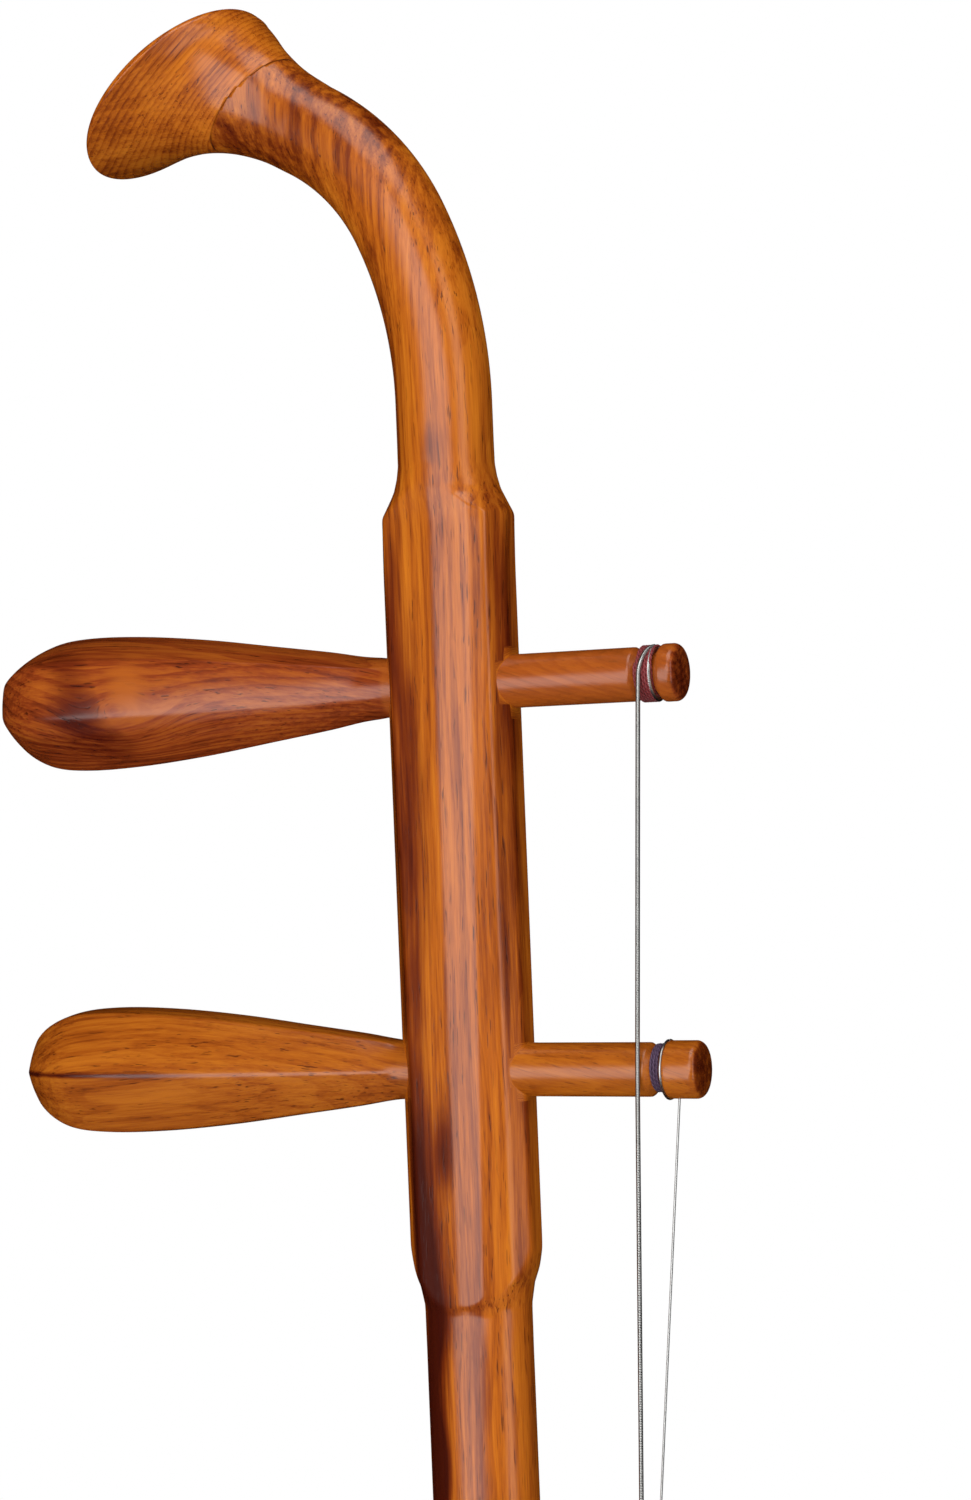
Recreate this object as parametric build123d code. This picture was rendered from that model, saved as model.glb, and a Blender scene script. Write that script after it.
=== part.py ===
from build123d import *
import os
from math import atan2, cos, degrees, pi, radians, sin

# Erhu: a two-stringed fiddle. Millimetres, +Z up, +X towards the strings and the skin,
# -Y towards the inner string. The origin is on the neck's axis, at the underside of the base.

# ---- driving dimensions -----------------------------------------------------------------
PAD_THICK = 2.0            # leather pad under the base
BASE_TOP = 11.0            # top of the base plate
BASE_BACK = -104.0
BASE_FRONT = 40.0
BASE_WIDTH = 90.0

BOX_Z = 56.0               # height of the soundbox axis
BOX_FRONT = 28.5           # front end of the boards
BOX_REAR = -96.5           # rear end of the boards
BAND_REAR = 12.5           # where the rebate for the skin and its band starts
SKIN_REAR = 17.0           # rear edge of the skin's skirt
SKIN_THICK = 0.8
REBATE_APOTHEM = 43.0      # centre to flat, under the skin
FRONT_APOTHEM = 43.4       # centre to flat, just behind the band
WAIST_APOTHEM = 38.4
REAR_APOTHEM = 42.0
WALL = 7.0
RIM_THICK = 5.0            # hexagonal frame round the sound window
SIDES = 6

NECK_HALF_X = 11.35        # lower neck, half depth front to back
NECK_HALF_Y = 9.5          # lower neck, half width
NECK_FOOT = 86.0           # the full section ends here, inside the soundbox
NECK_TOP = 544.0           # the section starts to grow into the peg block here
TENON_X = 14.0
TENON_Y = 12.0
TENON_FOOT = 5.0
FIT_GAP = 0.05             # clearance of every wooden fit

THICK_LOW = 569.0          # planed eight-sided block that holds the pegs
THICK_HIGH = 714.0
THICK_HALF_X = 13.85
THICK_HALF_Y = 9.45
END_FACET = 2.7            # half width of the block's narrow front and back facets
SIDE_FACET_LOW = 8.0       # half width of its side facets, at the bottom and at the top
SIDE_FACET_HIGH = 10.3

HEAD_R = 10.0              # round neck above the block
HEAD_X = 0.3               # how far the round part stands forward of the block's middle
HEAD_LOW = 733.5           # the round part starts here
HEAD_BEND_Z = 742.0        # the head starts to bend back here
BENDS = ((90.0, 25.0), (49.0, 35.0))   # radius and turn of the two arcs of the bend

PEG_HEIGHTS = {"upper": 683.8, "lower": 604.2}
PEG_SHIFT = {"upper": 0.0, "lower": 3.4}      # how far each handle is pushed in, along +X
PEG_TWIST = {"upper": 8.0, "lower": 30.0}    # how far each hexagonal handle is turned
PEG_GROOVE = {"upper": (41.6, 45.8), "lower": (41.4, 43.6)}
PEG_TIP = {"upper": 50.8, "lower": 52.1}
PEG_MOUTH_R = 6.3          # shaft radius where it enters the neck, at the back
PEG_TIP_R = 5.5            # shaft radius from the front of the neck on
PEG_BUTTON_R = 5.85
GROOVE_R = 4.3             # root of the string groove near the tip

INNER_R = 0.48             # radius of the wound inner string
OUTER_R = 0.25             # radius of the plain outer string
NUT_Z = 467.0              # height of the qianjin, the cord loop that is the nut
NUT_X = 33.4
STRING_NUT_Y = 1.75
STRING_BRIDGE_Y = 2.0
BRIDGE_Z = 57.0
BRIDGE_HEIGHT = 7.8
HITCH_BAR_X = 34.6         # the bar that the strings' lower ends loop round
HITCH_BAR_Z = 16.6
HITCH_BAR_R = 1.2
STRING_HITCH_Y = 3.4
TURN_GAP = 0.15            # clearance between a string and the turning pegs

SKIN_FRONT = BOX_FRONT + SKIN_THICK
BRIDGE_TOP = SKIN_FRONT + BRIDGE_HEIGHT


def save(part, node):
    """Write one sub-part; the file's name is the node's name."""
    os.makedirs("parts", exist_ok=True)
    part.label = node
    export_step(part, "parts/" + node + ".step")


def hexagon(apothem, x_start, x_end):
    """Hexagonal prism about the soundbox axis, flats up and down."""
    plane = Plane(origin=(x_start, 0, BOX_Z), x_dir=(0, 1, 0), z_dir=(1, 0, 0))
    face = plane * RegularPolygon(apothem, SIDES, major_radius=False)
    return extrude(face, amount=x_end - x_start)


def block(x_range, y_range, z_range):
    """Box from its three ranges."""
    size = [high - low for low, high in (x_range, y_range, z_range)]
    middle = [(high + low) / 2 for low, high in (x_range, y_range, z_range)]
    return Pos(*middle) * Box(*size)


def revolve_x(points, z):
    """Solid of revolution about the line y = 0 at height z; points are (x, radius)."""
    outline = [(x, 0, z + r) for x, r in points]
    face = make_face(Polyline(*outline, close=True))
    return revolve(face, axis=Axis((0, 0, z), (1, 0, 0)))


def rod(points, r):
    """Round rod along straight runs, with a ball at each inner point."""
    solid = None
    for start, end in zip(points, points[1:]):
        run = Vector(*end) - Vector(*start)
        plane = Plane(origin=start, z_dir=run)
        piece = extrude(plane * Circle(r), amount=run.length)
        solid = piece if solid is None else solid + piece
    for point in points[1:-1]:
        solid += Pos(*point) * Sphere(r)
    return solid


# ---- neck and head ----------------------------------------------------------------------
def planed_section(z, half_x, side_facet, end_facet=END_FACET, half_y=THICK_HALF_Y):
    """Eight-sided outline of the peg block at height z."""
    quarter = [(half_x, end_facet), (side_facet, half_y)]
    corners = quarter + [(-x, y) for x, y in reversed(quarter)]
    corners += [(-x, -y) for x, y in corners]
    points = [(x, y, z) for x, y in corners]
    edges = [Line(p, q) for p, q in zip(points, points[1:] + points[:1])]
    return Wire(edges)


def round_section(z, half_x, half_y, middle_x=0.0):
    """Oval outline at height z, in eight arcs, to match the eight-sided one."""
    def point(step):
        angle = radians(22.5 * step)
        return (middle_x + half_x * cos(angle), half_y * sin(angle), z)
    edges = [ThreePointArc(point(k), point(k + 1), point(k + 2)) for k in range(1, 17, 2)]
    return Wire(edges)


def shoulder(wires):
    """Solid through a stack of outlines."""
    return Solid.make_loft(wires, ruled=False)


def head_frame(turned):
    """Point and direction of the head's centreline after it has turned by so many degrees."""
    x = HEAD_X
    z = HEAD_BEND_Z
    done = 0.0
    for radius, turn in BENDS:
        step = min(turn, turned - done)
        if step <= 0:
            break
        x -= radius * (cos(radians(done)) - cos(radians(done + step)))
        z += radius * (sin(radians(done + step)) - sin(radians(done)))
        done += step
    return Vector(x, 0, z), Vector(-sin(radians(turned)), 0, cos(radians(turned)))


HEAD_TURN = sum(turn for radius, turn in BENDS)
BEND_END, FLARE_DIR = head_frame(HEAD_TURN)
FLARE_UP = Vector(FLARE_DIR.Z, 0, -FLARE_DIR.X)
SPLICE_ALONG = 14.0        # glue line of the flared end, along the straight of the head
SPLICE_LEAN = 17.0

# Flared end: distance along the head, drop below its line, radius, backward lean in degrees.
FLARE = (
    (7.5, -0.3, 10.5, 0.0),
    (15.0, -0.4, 12.3, 3.5),
    (21.0, 0.1, 15.0, 8.3),
    (25.8, 1.7, 18.0, 13.0),
    (29.4, 3.9, 21.2, 17.8),
    (32.4, 5.9, 23.8, 20.4),
)
CAP_EDGE_R = 1.6           # rounded edge of the end face
CAP_HEIGHT = 7.9           # how far the end face is domed


def flare_plane(along, drop, lean):
    """Plane across the head, leaned so that its lower side is further out."""
    origin = BEND_END + FLARE_DIR * along - FLARE_UP * drop
    normal = FLARE_DIR * cos(radians(lean)) + FLARE_UP * sin(radians(lean))
    return Plane(origin=origin, x_dir=(0, 1, 0), z_dir=normal)


def bent_head():
    """Round head from the block's shoulder to the end of the bend."""
    solid = Pos(HEAD_X, 0, HEAD_LOW) * extrude(Circle(HEAD_R), amount=HEAD_BEND_Z - HEAD_LOW)
    done = 0.0
    for radius, turn in BENDS:
        point, direction = head_frame(done)
        plane = Plane(origin=point, x_dir=(0, 1, 0), z_dir=direction)
        outward = Vector(-direction.Z, 0, direction.X)
        centre = point + outward * radius
        solid += revolve(plane * Circle(HEAD_R), axis=Axis(centre, (0, -1, 0)), revolution_arc=turn)
        done += turn
    return solid


def flare_sections(rows):
    """Circles that the flared end runs through."""
    wires = []
    for along, drop, radius, lean in rows:
        wires.append((flare_plane(along, drop, lean) * Circle(radius)).wire())
    return wires


def flared_head():
    """Flare from the bend's end out to its rounded, domed end face."""
    neck_end = (0.0, 0.0, HEAD_R, 0.0)
    horn = shoulder(flare_sections((neck_end,) + FLARE))
    along, drop, radius, lean = FLARE[-1]
    rim = flare_plane(along, drop, lean)
    edge_x = radius - CAP_EDGE_R
    # the dome is a sphere that meets the rounded edge smoothly
    dome_r = (edge_x ** 2 + CAP_HEIGHT ** 2 - CAP_EDGE_R ** 2) / (2 * (CAP_HEIGHT - CAP_EDGE_R))
    meet = degrees(atan2(dome_r - CAP_HEIGHT, edge_x))
    edge = CenterArc((edge_x, 0), CAP_EDGE_R, 0, meet)
    dome = CenterArc((0, CAP_HEIGHT - dome_r), dome_r, meet, 90 - meet)
    axis_line = Line(dome @ 1, (0, 0))
    face = make_face(Wire([edge, dome, axis_line, Line((0, 0), edge @ 0)]))
    cap = revolve(Plane.XZ * face, axis=Axis.Z)
    return horn + rim.location * cap


def peg_taper(z, gap):
    """Tapered bore or shaft between the back and the front of the block."""
    back = -THICK_HALF_X - 6
    front = THICK_HALF_X + 2
    far = THICK_HALF_X + 14
    outline = ((back, 0), (back, PEG_MOUTH_R + gap), (front, PEG_TIP_R + gap))
    return revolve_x(outline + ((far, PEG_TIP_R + gap), (far, 0)), z)


def neck_and_head():
    """The neck in one piece, then cut at the glue line of the flared end."""
    foot = extrude(make_face(round_section(NECK_FOOT, NECK_HALF_X, NECK_HALF_Y)), amount=NECK_TOP - NECK_FOOT)
    low = shoulder([
        round_section(NECK_TOP, NECK_HALF_X, NECK_HALF_Y),
        round_section(553, 11.8, NECK_HALF_Y, -0.1),
        round_section(561, 13.2, NECK_HALF_Y, -0.4),
        planed_section(THICK_LOW, THICK_HALF_X, SIDE_FACET_LOW),
    ])
    body = shoulder([
        planed_section(THICK_LOW, THICK_HALF_X, SIDE_FACET_LOW),
        planed_section(THICK_HIGH, THICK_HALF_X, SIDE_FACET_HIGH),
    ])
    high = shoulder([
        planed_section(THICK_HIGH, THICK_HALF_X, SIDE_FACET_HIGH),
        planed_section(719, 13.3, 9.7, 3.2, 9.6),
        round_section(727, 11.2, 9.9, HEAD_X),
        round_section(HEAD_LOW, HEAD_R, HEAD_R, HEAD_X),
    ])
    tenon = block((-TENON_X / 2, TENON_X / 2), (-TENON_Y / 2, TENON_Y / 2), (TENON_FOOT, NECK_FOOT))
    whole = foot + low + body + high + bent_head() + tenon
    for z in PEG_HEIGHTS.values():
        whole -= peg_taper(z, FIT_GAP)
    whole -= Pos(0, 0, TENON_FOOT) * Cylinder(SCREW_R + FIT_GAP, 26, align=STAND)
    flare = flared_head()
    splice = flare_plane(SPLICE_ALONG, 0, SPLICE_LEAN)
    beyond = splice.location * Pos(0, 0, 40) * Box(90, 90, 80)
    return whole + (flare - beyond), flare & beyond


# ---- pegs and strings -------------------------------------------------------------------
# Handle: distance from the neck's axis (towards the back) and radius over the ridges.
HANDLE = ((107.4, 5.4), (106.0, 7.6), (103.0, 9.9), (99.0, 12.4), (94.4, 14.0), (86.8, 14.7),
          (74.0, 14.3), (58.0, 12.7), (41.5, 10.3), (28.0, 8.3), (20.0, 6.9))
RIDGE_SOFTNESS = 0.35      # how far the six faces of a handle bulge, of a full circle


def handle_section(x, radius, twist, z):
    """Six-sided outline with slightly bulged faces, ridges at the full radius."""
    face_r = radius * (cos(pi / SIDES) + (1 - cos(pi / SIDES)) * RIDGE_SOFTNESS)

    def point(angle, r):
        return (x, -r * cos(radians(angle)), z + r * sin(radians(angle)))
    edges = []
    for k in range(SIDES):
        ridge = 30 + twist - 60 * k
        edges.append(ThreePointArc(point(ridge, radius), point(ridge - 30, face_r), point(ridge - 60, radius)))
    return Wire(edges)


def peg(which):
    """Peg: hexagonal club handle, tapered shaft, string groove and rounded button."""
    z = PEG_HEIGHTS[which]
    shift = PEG_SHIFT[which]
    wires = [handle_section(shift - x, r, PEG_TWIST[which], z) for x, r in HANDLE]
    handle = shoulder(wires)
    inside_handle = shift - 30.0
    groove_start, groove_end = PEG_GROOVE[which]
    tip = PEG_TIP[which]
    outline = (
        (inside_handle, 0),
        (inside_handle, PEG_MOUTH_R),
        (-THICK_HALF_X - 6, PEG_MOUTH_R),
        (THICK_HALF_X + 2, PEG_TIP_R),
        (groove_start - 1.0, PEG_TIP_R),
        (groove_start + 0.4, GROOVE_R),
        (groove_end - 0.4, GROOVE_R),
        (groove_end + 1.0, PEG_BUTTON_R),
        (tip - 2.6, PEG_BUTTON_R),
        (tip - 0.9, PEG_BUTTON_R - 0.9),
        (tip, PEG_BUTTON_R - 2.8),
        (tip, 0),
    )
    return handle + revolve_x(outline, z)


def thread_turns(which, radius, thread_r):
    """Turns of silk in the peg's groove, side by side, as one ring."""
    z = PEG_HEIGHTS[which]
    start = PEG_GROOVE[which][0] + 0.5
    end = PEG_GROOVE[which][1] - 0.5
    sleeve_r = radius - thread_r * 0.6
    ring = revolve_x(((start, GROOVE_R), (start, sleeve_r), (end, sleeve_r), (end, GROOVE_R)), z)
    count = int((end - start) / (2 * thread_r))
    pitch = (end - start) / count
    for k in range(count):
        x = start + pitch * (k + 0.5)
        ring += Pos(x, 0, z) * Rot(0, 90, 0) * Torus(radius - thread_r, thread_r)
    return ring


def string_turn(which, x, string_r, seat_r):
    """Last turn of the steel string on its peg."""
    return Pos(x, 0, PEG_HEIGHTS[which]) * Rot(0, 90, 0) * Torus(seat_r + string_r, string_r)


SILK = {"upper": (5.9, 0.3), "lower": (5.4, 0.3)}     # outer radius, thread radius
INNER_X = 43.2             # where the inner string leaves the upper peg
OUTER_X = 44.3             # where the outer string leaves the lower peg
INNER_SEAT = 5.6           # the inner string beds into the silk
OUTER_SEAT = 5.65          # the outer string rests on the slope of the button


def string_tail(side, string_r):
    """Loop of a string's lower end round the hitch bar."""
    loop = Torus(HITCH_BAR_R + FIT_GAP + string_r, string_r)
    return Pos(HITCH_BAR_X, side * STRING_HITCH_Y, HITCH_BAR_Z) * Rot(90, 0, 0) * loop


def string_path(side, string_r, top):
    """Points of a string from below its peg, past the nut and the bridge, to the hitch bar."""
    nut = (NUT_X, side * STRING_NUT_Y, NUT_Z)
    crown = (BRIDGE_TOP + string_r, side * STRING_BRIDGE_Y, BRIDGE_Z)
    loop_x = HITCH_BAR_X + HITCH_BAR_R + FIT_GAP + string_r
    return top + [nut, crown, (loop_x, side * STRING_HITCH_Y, HITCH_BAR_Z)]


def inner_string():
    """Wound string: it passes the near side of the lower peg on its way down."""
    leave = (INNER_X, -(INNER_SEAT + INNER_R), PEG_HEIGHTS["upper"] - 4.2)
    past_y = -(PEG_TIP_R + INNER_R + 2 * TURN_GAP)
    past = (39.7, past_y, PEG_HEIGHTS["lower"])
    return rod(string_path(-1, INNER_R, [leave, past]), INNER_R) + string_tail(-1, INNER_R)


def outer_string():
    """Plain string from the far side of the lower peg."""
    leave = (OUTER_X, OUTER_SEAT + OUTER_R + TURN_GAP, PEG_HEIGHTS["lower"] - 3.0)
    return rod(string_path(1, OUTER_R, [leave]), OUTER_R) + string_tail(1, OUTER_R)


# ---- qianjin: the cord nut --------------------------------------------------------------
def oval(grow, z, height):
    """Upright prism round the neck, larger than it by grow."""
    return extrude(make_face(round_section(z, NECK_HALF_X + grow, NECK_HALF_Y + grow)), amount=height)


def nut_winding():
    """Cord wound round the neck, ridged by its turns."""
    cord_r = 0.7
    turns = 9
    low = NUT_Z - turns * cord_r
    sleeve = oval(0.75, low, 2 * turns * cord_r)
    for k in range(turns):
        middle = low + (2 * k + 1) * cord_r
        sleeve += oval(1.3, middle - 0.4, 0.8)
    return sleeve - oval(FIT_GAP, low - 1, 2 * turns * cord_r + 2)


def nut_loop():
    """Cord loop that ties both strings back to the winding."""
    tip_r = 2.55
    tip_x = NUT_X - 0.75
    slack = 1.4
    height = 4.2

    def ring(grow):
        tangent_x = tip_x
        sketch = Ellipse(NECK_HALF_X + slack + grow, NECK_HALF_Y + slack + grow)
        tip = Pos(tangent_x, 0) * Circle(tip_r + grow)
        return make_hull(sketch.edges() + tip.edges())
    face = ring(1.1) - ring(0)
    return extrude(Pos(0, 0, NUT_Z - height / 2) * face, amount=height)


# ---- soundbox ---------------------------------------------------------------------------
def board_profile():
    """Section of a board: distance along the box, height above its axis."""
    rear_out = (BOX_REAR, 0, BOX_Z + REAR_APOTHEM)
    waist_x = -38.0
    outer = ThreePointArc((BAND_REAR, 0, BOX_Z + FRONT_APOTHEM), (waist_x, 0, BOX_Z + WAIST_APOTHEM), rear_out)
    rear_in = (BOX_REAR, 0, BOX_Z + REAR_APOTHEM - WALL + 0.5)
    front_in = (BOX_FRONT, 0, BOX_Z + REBATE_APOTHEM - WALL)
    inner = ThreePointArc(rear_in, (waist_x, 0, BOX_Z + WAIST_APOTHEM - WALL), front_in)
    top = (BOX_FRONT, 0, BOX_Z + REBATE_APOTHEM)
    step = (BAND_REAR, 0, BOX_Z + REBATE_APOTHEM)
    edges = [outer, Line(rear_out, rear_in), inner, Line(front_in, top)]
    edges += [Line(top, step), Line(step, (BAND_REAR, 0, BOX_Z + FRONT_APOTHEM))]
    return make_face(Wire(edges))


def upper_board():
    """Board with its outside up, mitred at 30 degrees each side."""
    half = 32.0
    slab = extrude(board_profile(), amount=half, both=True)
    reach = 60.0
    spread = reach * sin(radians(30)) / cos(radians(30))
    wedge_plane = Plane(origin=(BOX_REAR - 1, 0, BOX_Z), x_dir=(0, 1, 0), z_dir=(1, 0, 0))
    triangle = make_face(Polyline((0, 0), (spread, reach), (-spread, reach), close=True))
    wedge = extrude(wedge_plane * triangle, amount=BOX_FRONT - BOX_REAR + 2)
    return slab & wedge


BOARD_NAMES = ("top_board", "upper_far_board", "lower_far_board",
               "bottom_board", "lower_near_board", "upper_near_board")


def boards():
    """Six boards of the hexagonal soundbox; the neck goes through the top and bottom ones."""
    made = {}
    pattern = upper_board()
    axis = Axis((0, 0, BOX_Z), (1, 0, 0))
    for k, name in enumerate(BOARD_NAMES):
        made[name] = pattern.rotate(axis, -60 * k)
    made["top_board"] -= oval(FIT_GAP, NECK_FOOT, 40)
    half_x = TENON_X / 2 + FIT_GAP
    half_y = TENON_Y / 2 + FIT_GAP
    made["bottom_board"] -= block((-half_x, half_x), (-half_y, half_y), (0, BOX_Z))
    return made


def snakeskin():
    """Python skin: a hexagonal drum head with a skirt glued round the front of the boards."""
    outer_apothem = REBATE_APOTHEM + SKIN_THICK
    shell = hexagon(outer_apothem, SKIN_REAR, SKIN_FRONT)
    return shell - hexagon(REBATE_APOTHEM, SKIN_REAR - 1, BOX_FRONT)


def skin_band():
    """Ribbon that covers the rear edge of the skin."""
    return hexagon(REBATE_APOTHEM + 1.2, BAND_REAR, SKIN_REAR) - hexagon(REBATE_APOTHEM, BAND_REAR - 1, SKIN_REAR + 1)


def rear_rim():
    """Hexagonal frame on the rear end, with a rounded outer edge."""
    outer = hexagon(REAR_APOTHEM + 0.6, BOX_REAR - RIM_THICK, BOX_REAR)
    rear_edges = outer.faces().sort_by(Axis.X)[0].edges()
    outer = chamfer(rear_edges, 1.4)
    return outer - hexagon(REAR_APOTHEM - WALL - 2.0, BOX_REAR - RIM_THICK - 1, BOX_REAR + 1)


def sound_window():
    """Carved lattice inside the rear end: a hub, six petals and a ring of arches."""
    thick = 4.0
    apothem = REAR_APOTHEM - WALL - 0.4
    plate = hexagon(apothem, BOX_REAR, BOX_REAR + thick)
    plane = Plane(origin=(BOX_REAR - 1, 0, BOX_Z), x_dir=(0, 1, 0), z_dir=(1, 0, 0))
    cut = thick + 2
    plate -= extrude(plane * Circle(3.4), amount=cut)
    for k in range(SIDES):
        petal = plane * Rot(0, 0, 60 * k + 30) * Pos(11.6, 0) * Ellipse(5.2, 3.4)
        plate -= extrude(petal, amount=cut)
        arch = plane * Rot(0, 0, 60 * k) * Pos(22.6, 0) * Ellipse(7.0, 5.4)
        plate -= extrude(arch, amount=cut)
        for side in (-1, 1):
            bead = plane * Rot(0, 0, 60 * k + 30 + 13 * side) * Pos(26.4, 0) * Circle(2.9)
            plate -= extrude(bead, amount=cut)
        leaf = plane * Rot(0, 0, 60 * k + 30) * Pos(20.3, 0) * Circle(1.9)
        plate -= extrude(leaf, amount=cut)
    return plate


# ---- bridge, damper, base ---------------------------------------------------------------
def bridge():
    """Small arched bridge: two feet on the skin, a narrow head with two string notches."""
    foot_half = 12.5
    head_half = 5.0
    depth = 4.6
    shoulder_y = head_half + 2.4
    shoulder_x = BRIDGE_HEIGHT * 0.45
    toe = 1.8
    # local x runs across the instrument, local y away from the skin
    plane = Plane(origin=(SKIN_FRONT, 0, BRIDGE_Z + depth / 2), x_dir=(0, 1, 0), z_dir=(0, 0, -1))
    edges = [
        Line((4.5, 0), (foot_half, 0)),
        Line((foot_half, 0), (foot_half, toe)),
        ThreePointArc((foot_half, toe), (shoulder_y, shoulder_x), (head_half, BRIDGE_HEIGHT)),
        Line((head_half, BRIDGE_HEIGHT), (-head_half, BRIDGE_HEIGHT)),
        ThreePointArc((-head_half, BRIDGE_HEIGHT), (-shoulder_y, shoulder_x), (-foot_half, toe)),
        Line((-foot_half, toe), (-foot_half, 0)),
        Line((-foot_half, 0), (-4.5, 0)),
        ThreePointArc((-4.5, 0), (0, 3.2), (4.5, 0)),
    ]
    body = extrude(plane * make_face(Wire(edges)), amount=depth)
    for side, string_r in ((-1, INNER_R), (1, OUTER_R)):
        notch = (BRIDGE_TOP + string_r, side * STRING_BRIDGE_Y, BRIDGE_Z)
        body -= Pos(*notch) * Cylinder(string_r + 0.12, depth + 2)
    return body


def damper_felt():
    """Felt roll between the strings and the skin, below the bridge."""
    felt = block((SKIN_FRONT, SKIN_FRONT + 6.6), (-13, 13), (33, 44))
    return fillet(felt.edges().filter_by(Axis.Y).group_by(Axis.X)[-1], 3.0)


STAND = (Align.CENTER, Align.CENTER, Align.MIN)
SCREW_R = 2.0
SCREW_HEAD_R = 4.4


def footprint(inset, corner):
    """Plan of the base, smaller all round by inset."""
    length = BASE_FRONT - BASE_BACK - 2 * inset
    middle = (BASE_FRONT + BASE_BACK) / 2
    return Pos(middle, 0) * RectangleRounded(length, BASE_WIDTH - 2 * inset, corner)


def base():
    """Wooden base: a plate with a softened top edge and a saddle shaped to the bottom board."""
    plate = extrude(Pos(0, 0, PAD_THICK) * footprint(0, 16), amount=BASE_TOP - PAD_THICK)
    top_edges = plate.faces().sort_by(Axis.Z)[-1].edges()
    plate = chamfer(top_edges, 2.6, 3.6)
    saddle = block((BOX_REAR + 1, BAND_REAR - 0.6), (-21, 21), (PAD_THICK + 1, BOX_Z - WAIST_APOTHEM + 4))
    under = extrude(board_profile(), amount=40, both=True)
    under = under.rotate(Axis((0, 0, BOX_Z), (1, 0, 0)), 180)
    above = block((BOX_REAR, BAND_REAR), (-40, 40), (BOX_Z - WAIST_APOTHEM + 2, BOX_Z))
    solid = plate + (saddle - under - above)
    half_x = TENON_X / 2 + FIT_GAP
    half_y = TENON_Y / 2 + FIT_GAP
    solid -= block((-half_x, half_x), (-half_y, half_y), (TENON_FOOT, BOX_Z))
    solid -= Pos(0, 0, PAD_THICK - 1) * Cylinder(SCREW_R + 0.2, 20, align=STAND)
    solid -= Pos(0, 0, PAD_THICK - 1) * Cylinder(SCREW_HEAD_R + 0.2, 2.6, align=STAND)
    for side in (-1, 1):
        solid -= Pos(HITCH_SCREW_X, side * HITCH_SCREW_Y, BASE_TOP - 6) * Cylinder(1.25, 10, align=STAND)
    return solid


def base_pad():
    """Leather pad under the base."""
    return extrude(footprint(2.0, 14), amount=PAD_THICK)


def base_screw():
    """Screw up through the base into the neck's tenon."""
    head = Pos(0, 0, PAD_THICK) * Cylinder(SCREW_HEAD_R, 1.5, align=STAND)
    shank = Pos(0, 0, PAD_THICK) * Cylinder(SCREW_R, 27, align=STAND)
    slot = block((-5, 5), (-0.5, 0.5), (PAD_THICK - 1, PAD_THICK + 0.7))
    return head + shank - slot


HITCH_THICK = 1.2
HITCH_SCREW_X = 34.6
HITCH_SCREW_Y = 12.6
HITCH_TOP = BASE_TOP + HITCH_THICK
EAR_Y = (8.6, 9.8)


def string_hitch():
    """Brass bracket on the base, with two ears that hold the bar."""
    plate = block((30.8, 38.4), (-15.6, 15.6), (BASE_TOP, HITCH_TOP))
    plate = fillet(plate.edges().filter_by(Axis.Z), 2.4)
    ear_half = 2.2
    for side in (-1, 1):
        ys = sorted(side * y for y in EAR_Y)
        x_range = (HITCH_BAR_X - ear_half, HITCH_BAR_X + ear_half)
        plate += block(x_range, ys, (HITCH_TOP - 0.5, HITCH_BAR_Z))
        middle = (HITCH_BAR_X, sum(ys) / 2, HITCH_BAR_Z)
        plate += Pos(*middle) * Rot(90, 0, 0) * Cylinder(ear_half, ys[1] - ys[0])
        plate -= Pos(HITCH_SCREW_X, side * HITCH_SCREW_Y, BASE_TOP - 1) * Cylinder(1.35, 4, align=STAND)
    return plate - Pos(HITCH_BAR_X, 0, HITCH_BAR_Z) * Rot(90, 0, 0) * Cylinder(HITCH_BAR_R + 0.03, 30)


def hitch_bar():
    """Steel bar through both ears, with domed ends."""
    half = EAR_Y[1] + 0.5
    bar = Pos(HITCH_BAR_X, 0, HITCH_BAR_Z) * Rot(90, 0, 0) * Cylinder(HITCH_BAR_R, 2 * half)
    return chamfer(bar.edges().filter_by(GeomType.CIRCLE), 0.3)


def hitch_screws():
    """Two slotted round-head screws that hold the bracket."""
    screws = []
    for side in (-1, 1):
        at = Pos(HITCH_SCREW_X, side * HITCH_SCREW_Y, 0)
        ball = Pos(0, 0, HITCH_TOP - 1.2) * Sphere(2.6)
        head = ball & block((-3, 3), (-3, 3), (HITCH_TOP, HITCH_TOP + 3))
        shank = Pos(0, 0, BASE_TOP - 5.5) * Cylinder(1.2, HITCH_TOP - BASE_TOP + 5.6, align=STAND)
        slot = block((-3, 3), (-0.3, 0.3), (HITCH_TOP + 0.8, HITCH_TOP + 3))
        screws.append(at * (head + shank - slot))
    return Compound(screws)


# ---- write every sub-part ---------------------------------------------------------------
neck, head_finial = neck_and_head()
save(neck, "neck")
save(head_finial, "head_finial")
for which in PEG_HEIGHTS:
    save(peg(which), which + "_peg")
inner_turn = string_turn("upper", INNER_X, INNER_R, INNER_SEAT)
outer_turn = string_turn("lower", OUTER_X, OUTER_R, OUTER_SEAT)
save(thread_turns("upper", *SILK["upper"]) - inner_turn, "upper_peg_silk")
save(thread_turns("lower", *SILK["lower"]) - outer_turn, "lower_peg_silk")
save(inner_turn, "inner_string_turn")
save(outer_turn, "outer_string_turn")
save(inner_string(), "inner_string")
save(outer_string(), "outer_string")
save(nut_winding(), "qianjin_winding")
save(nut_loop(), "qianjin_loop")
for name, solid in boards().items():
    save(solid, name)
save(snakeskin(), "snakeskin")
save(skin_band(), "skin_band")
save(rear_rim(), "rear_rim")
save(sound_window(), "sound_window")
save(bridge(), "bridge")
save(damper_felt(), "damper_felt")
save(base(), "base")
save(base_pad(), "base_pad")
save(base_screw(), "base_screw")
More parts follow.
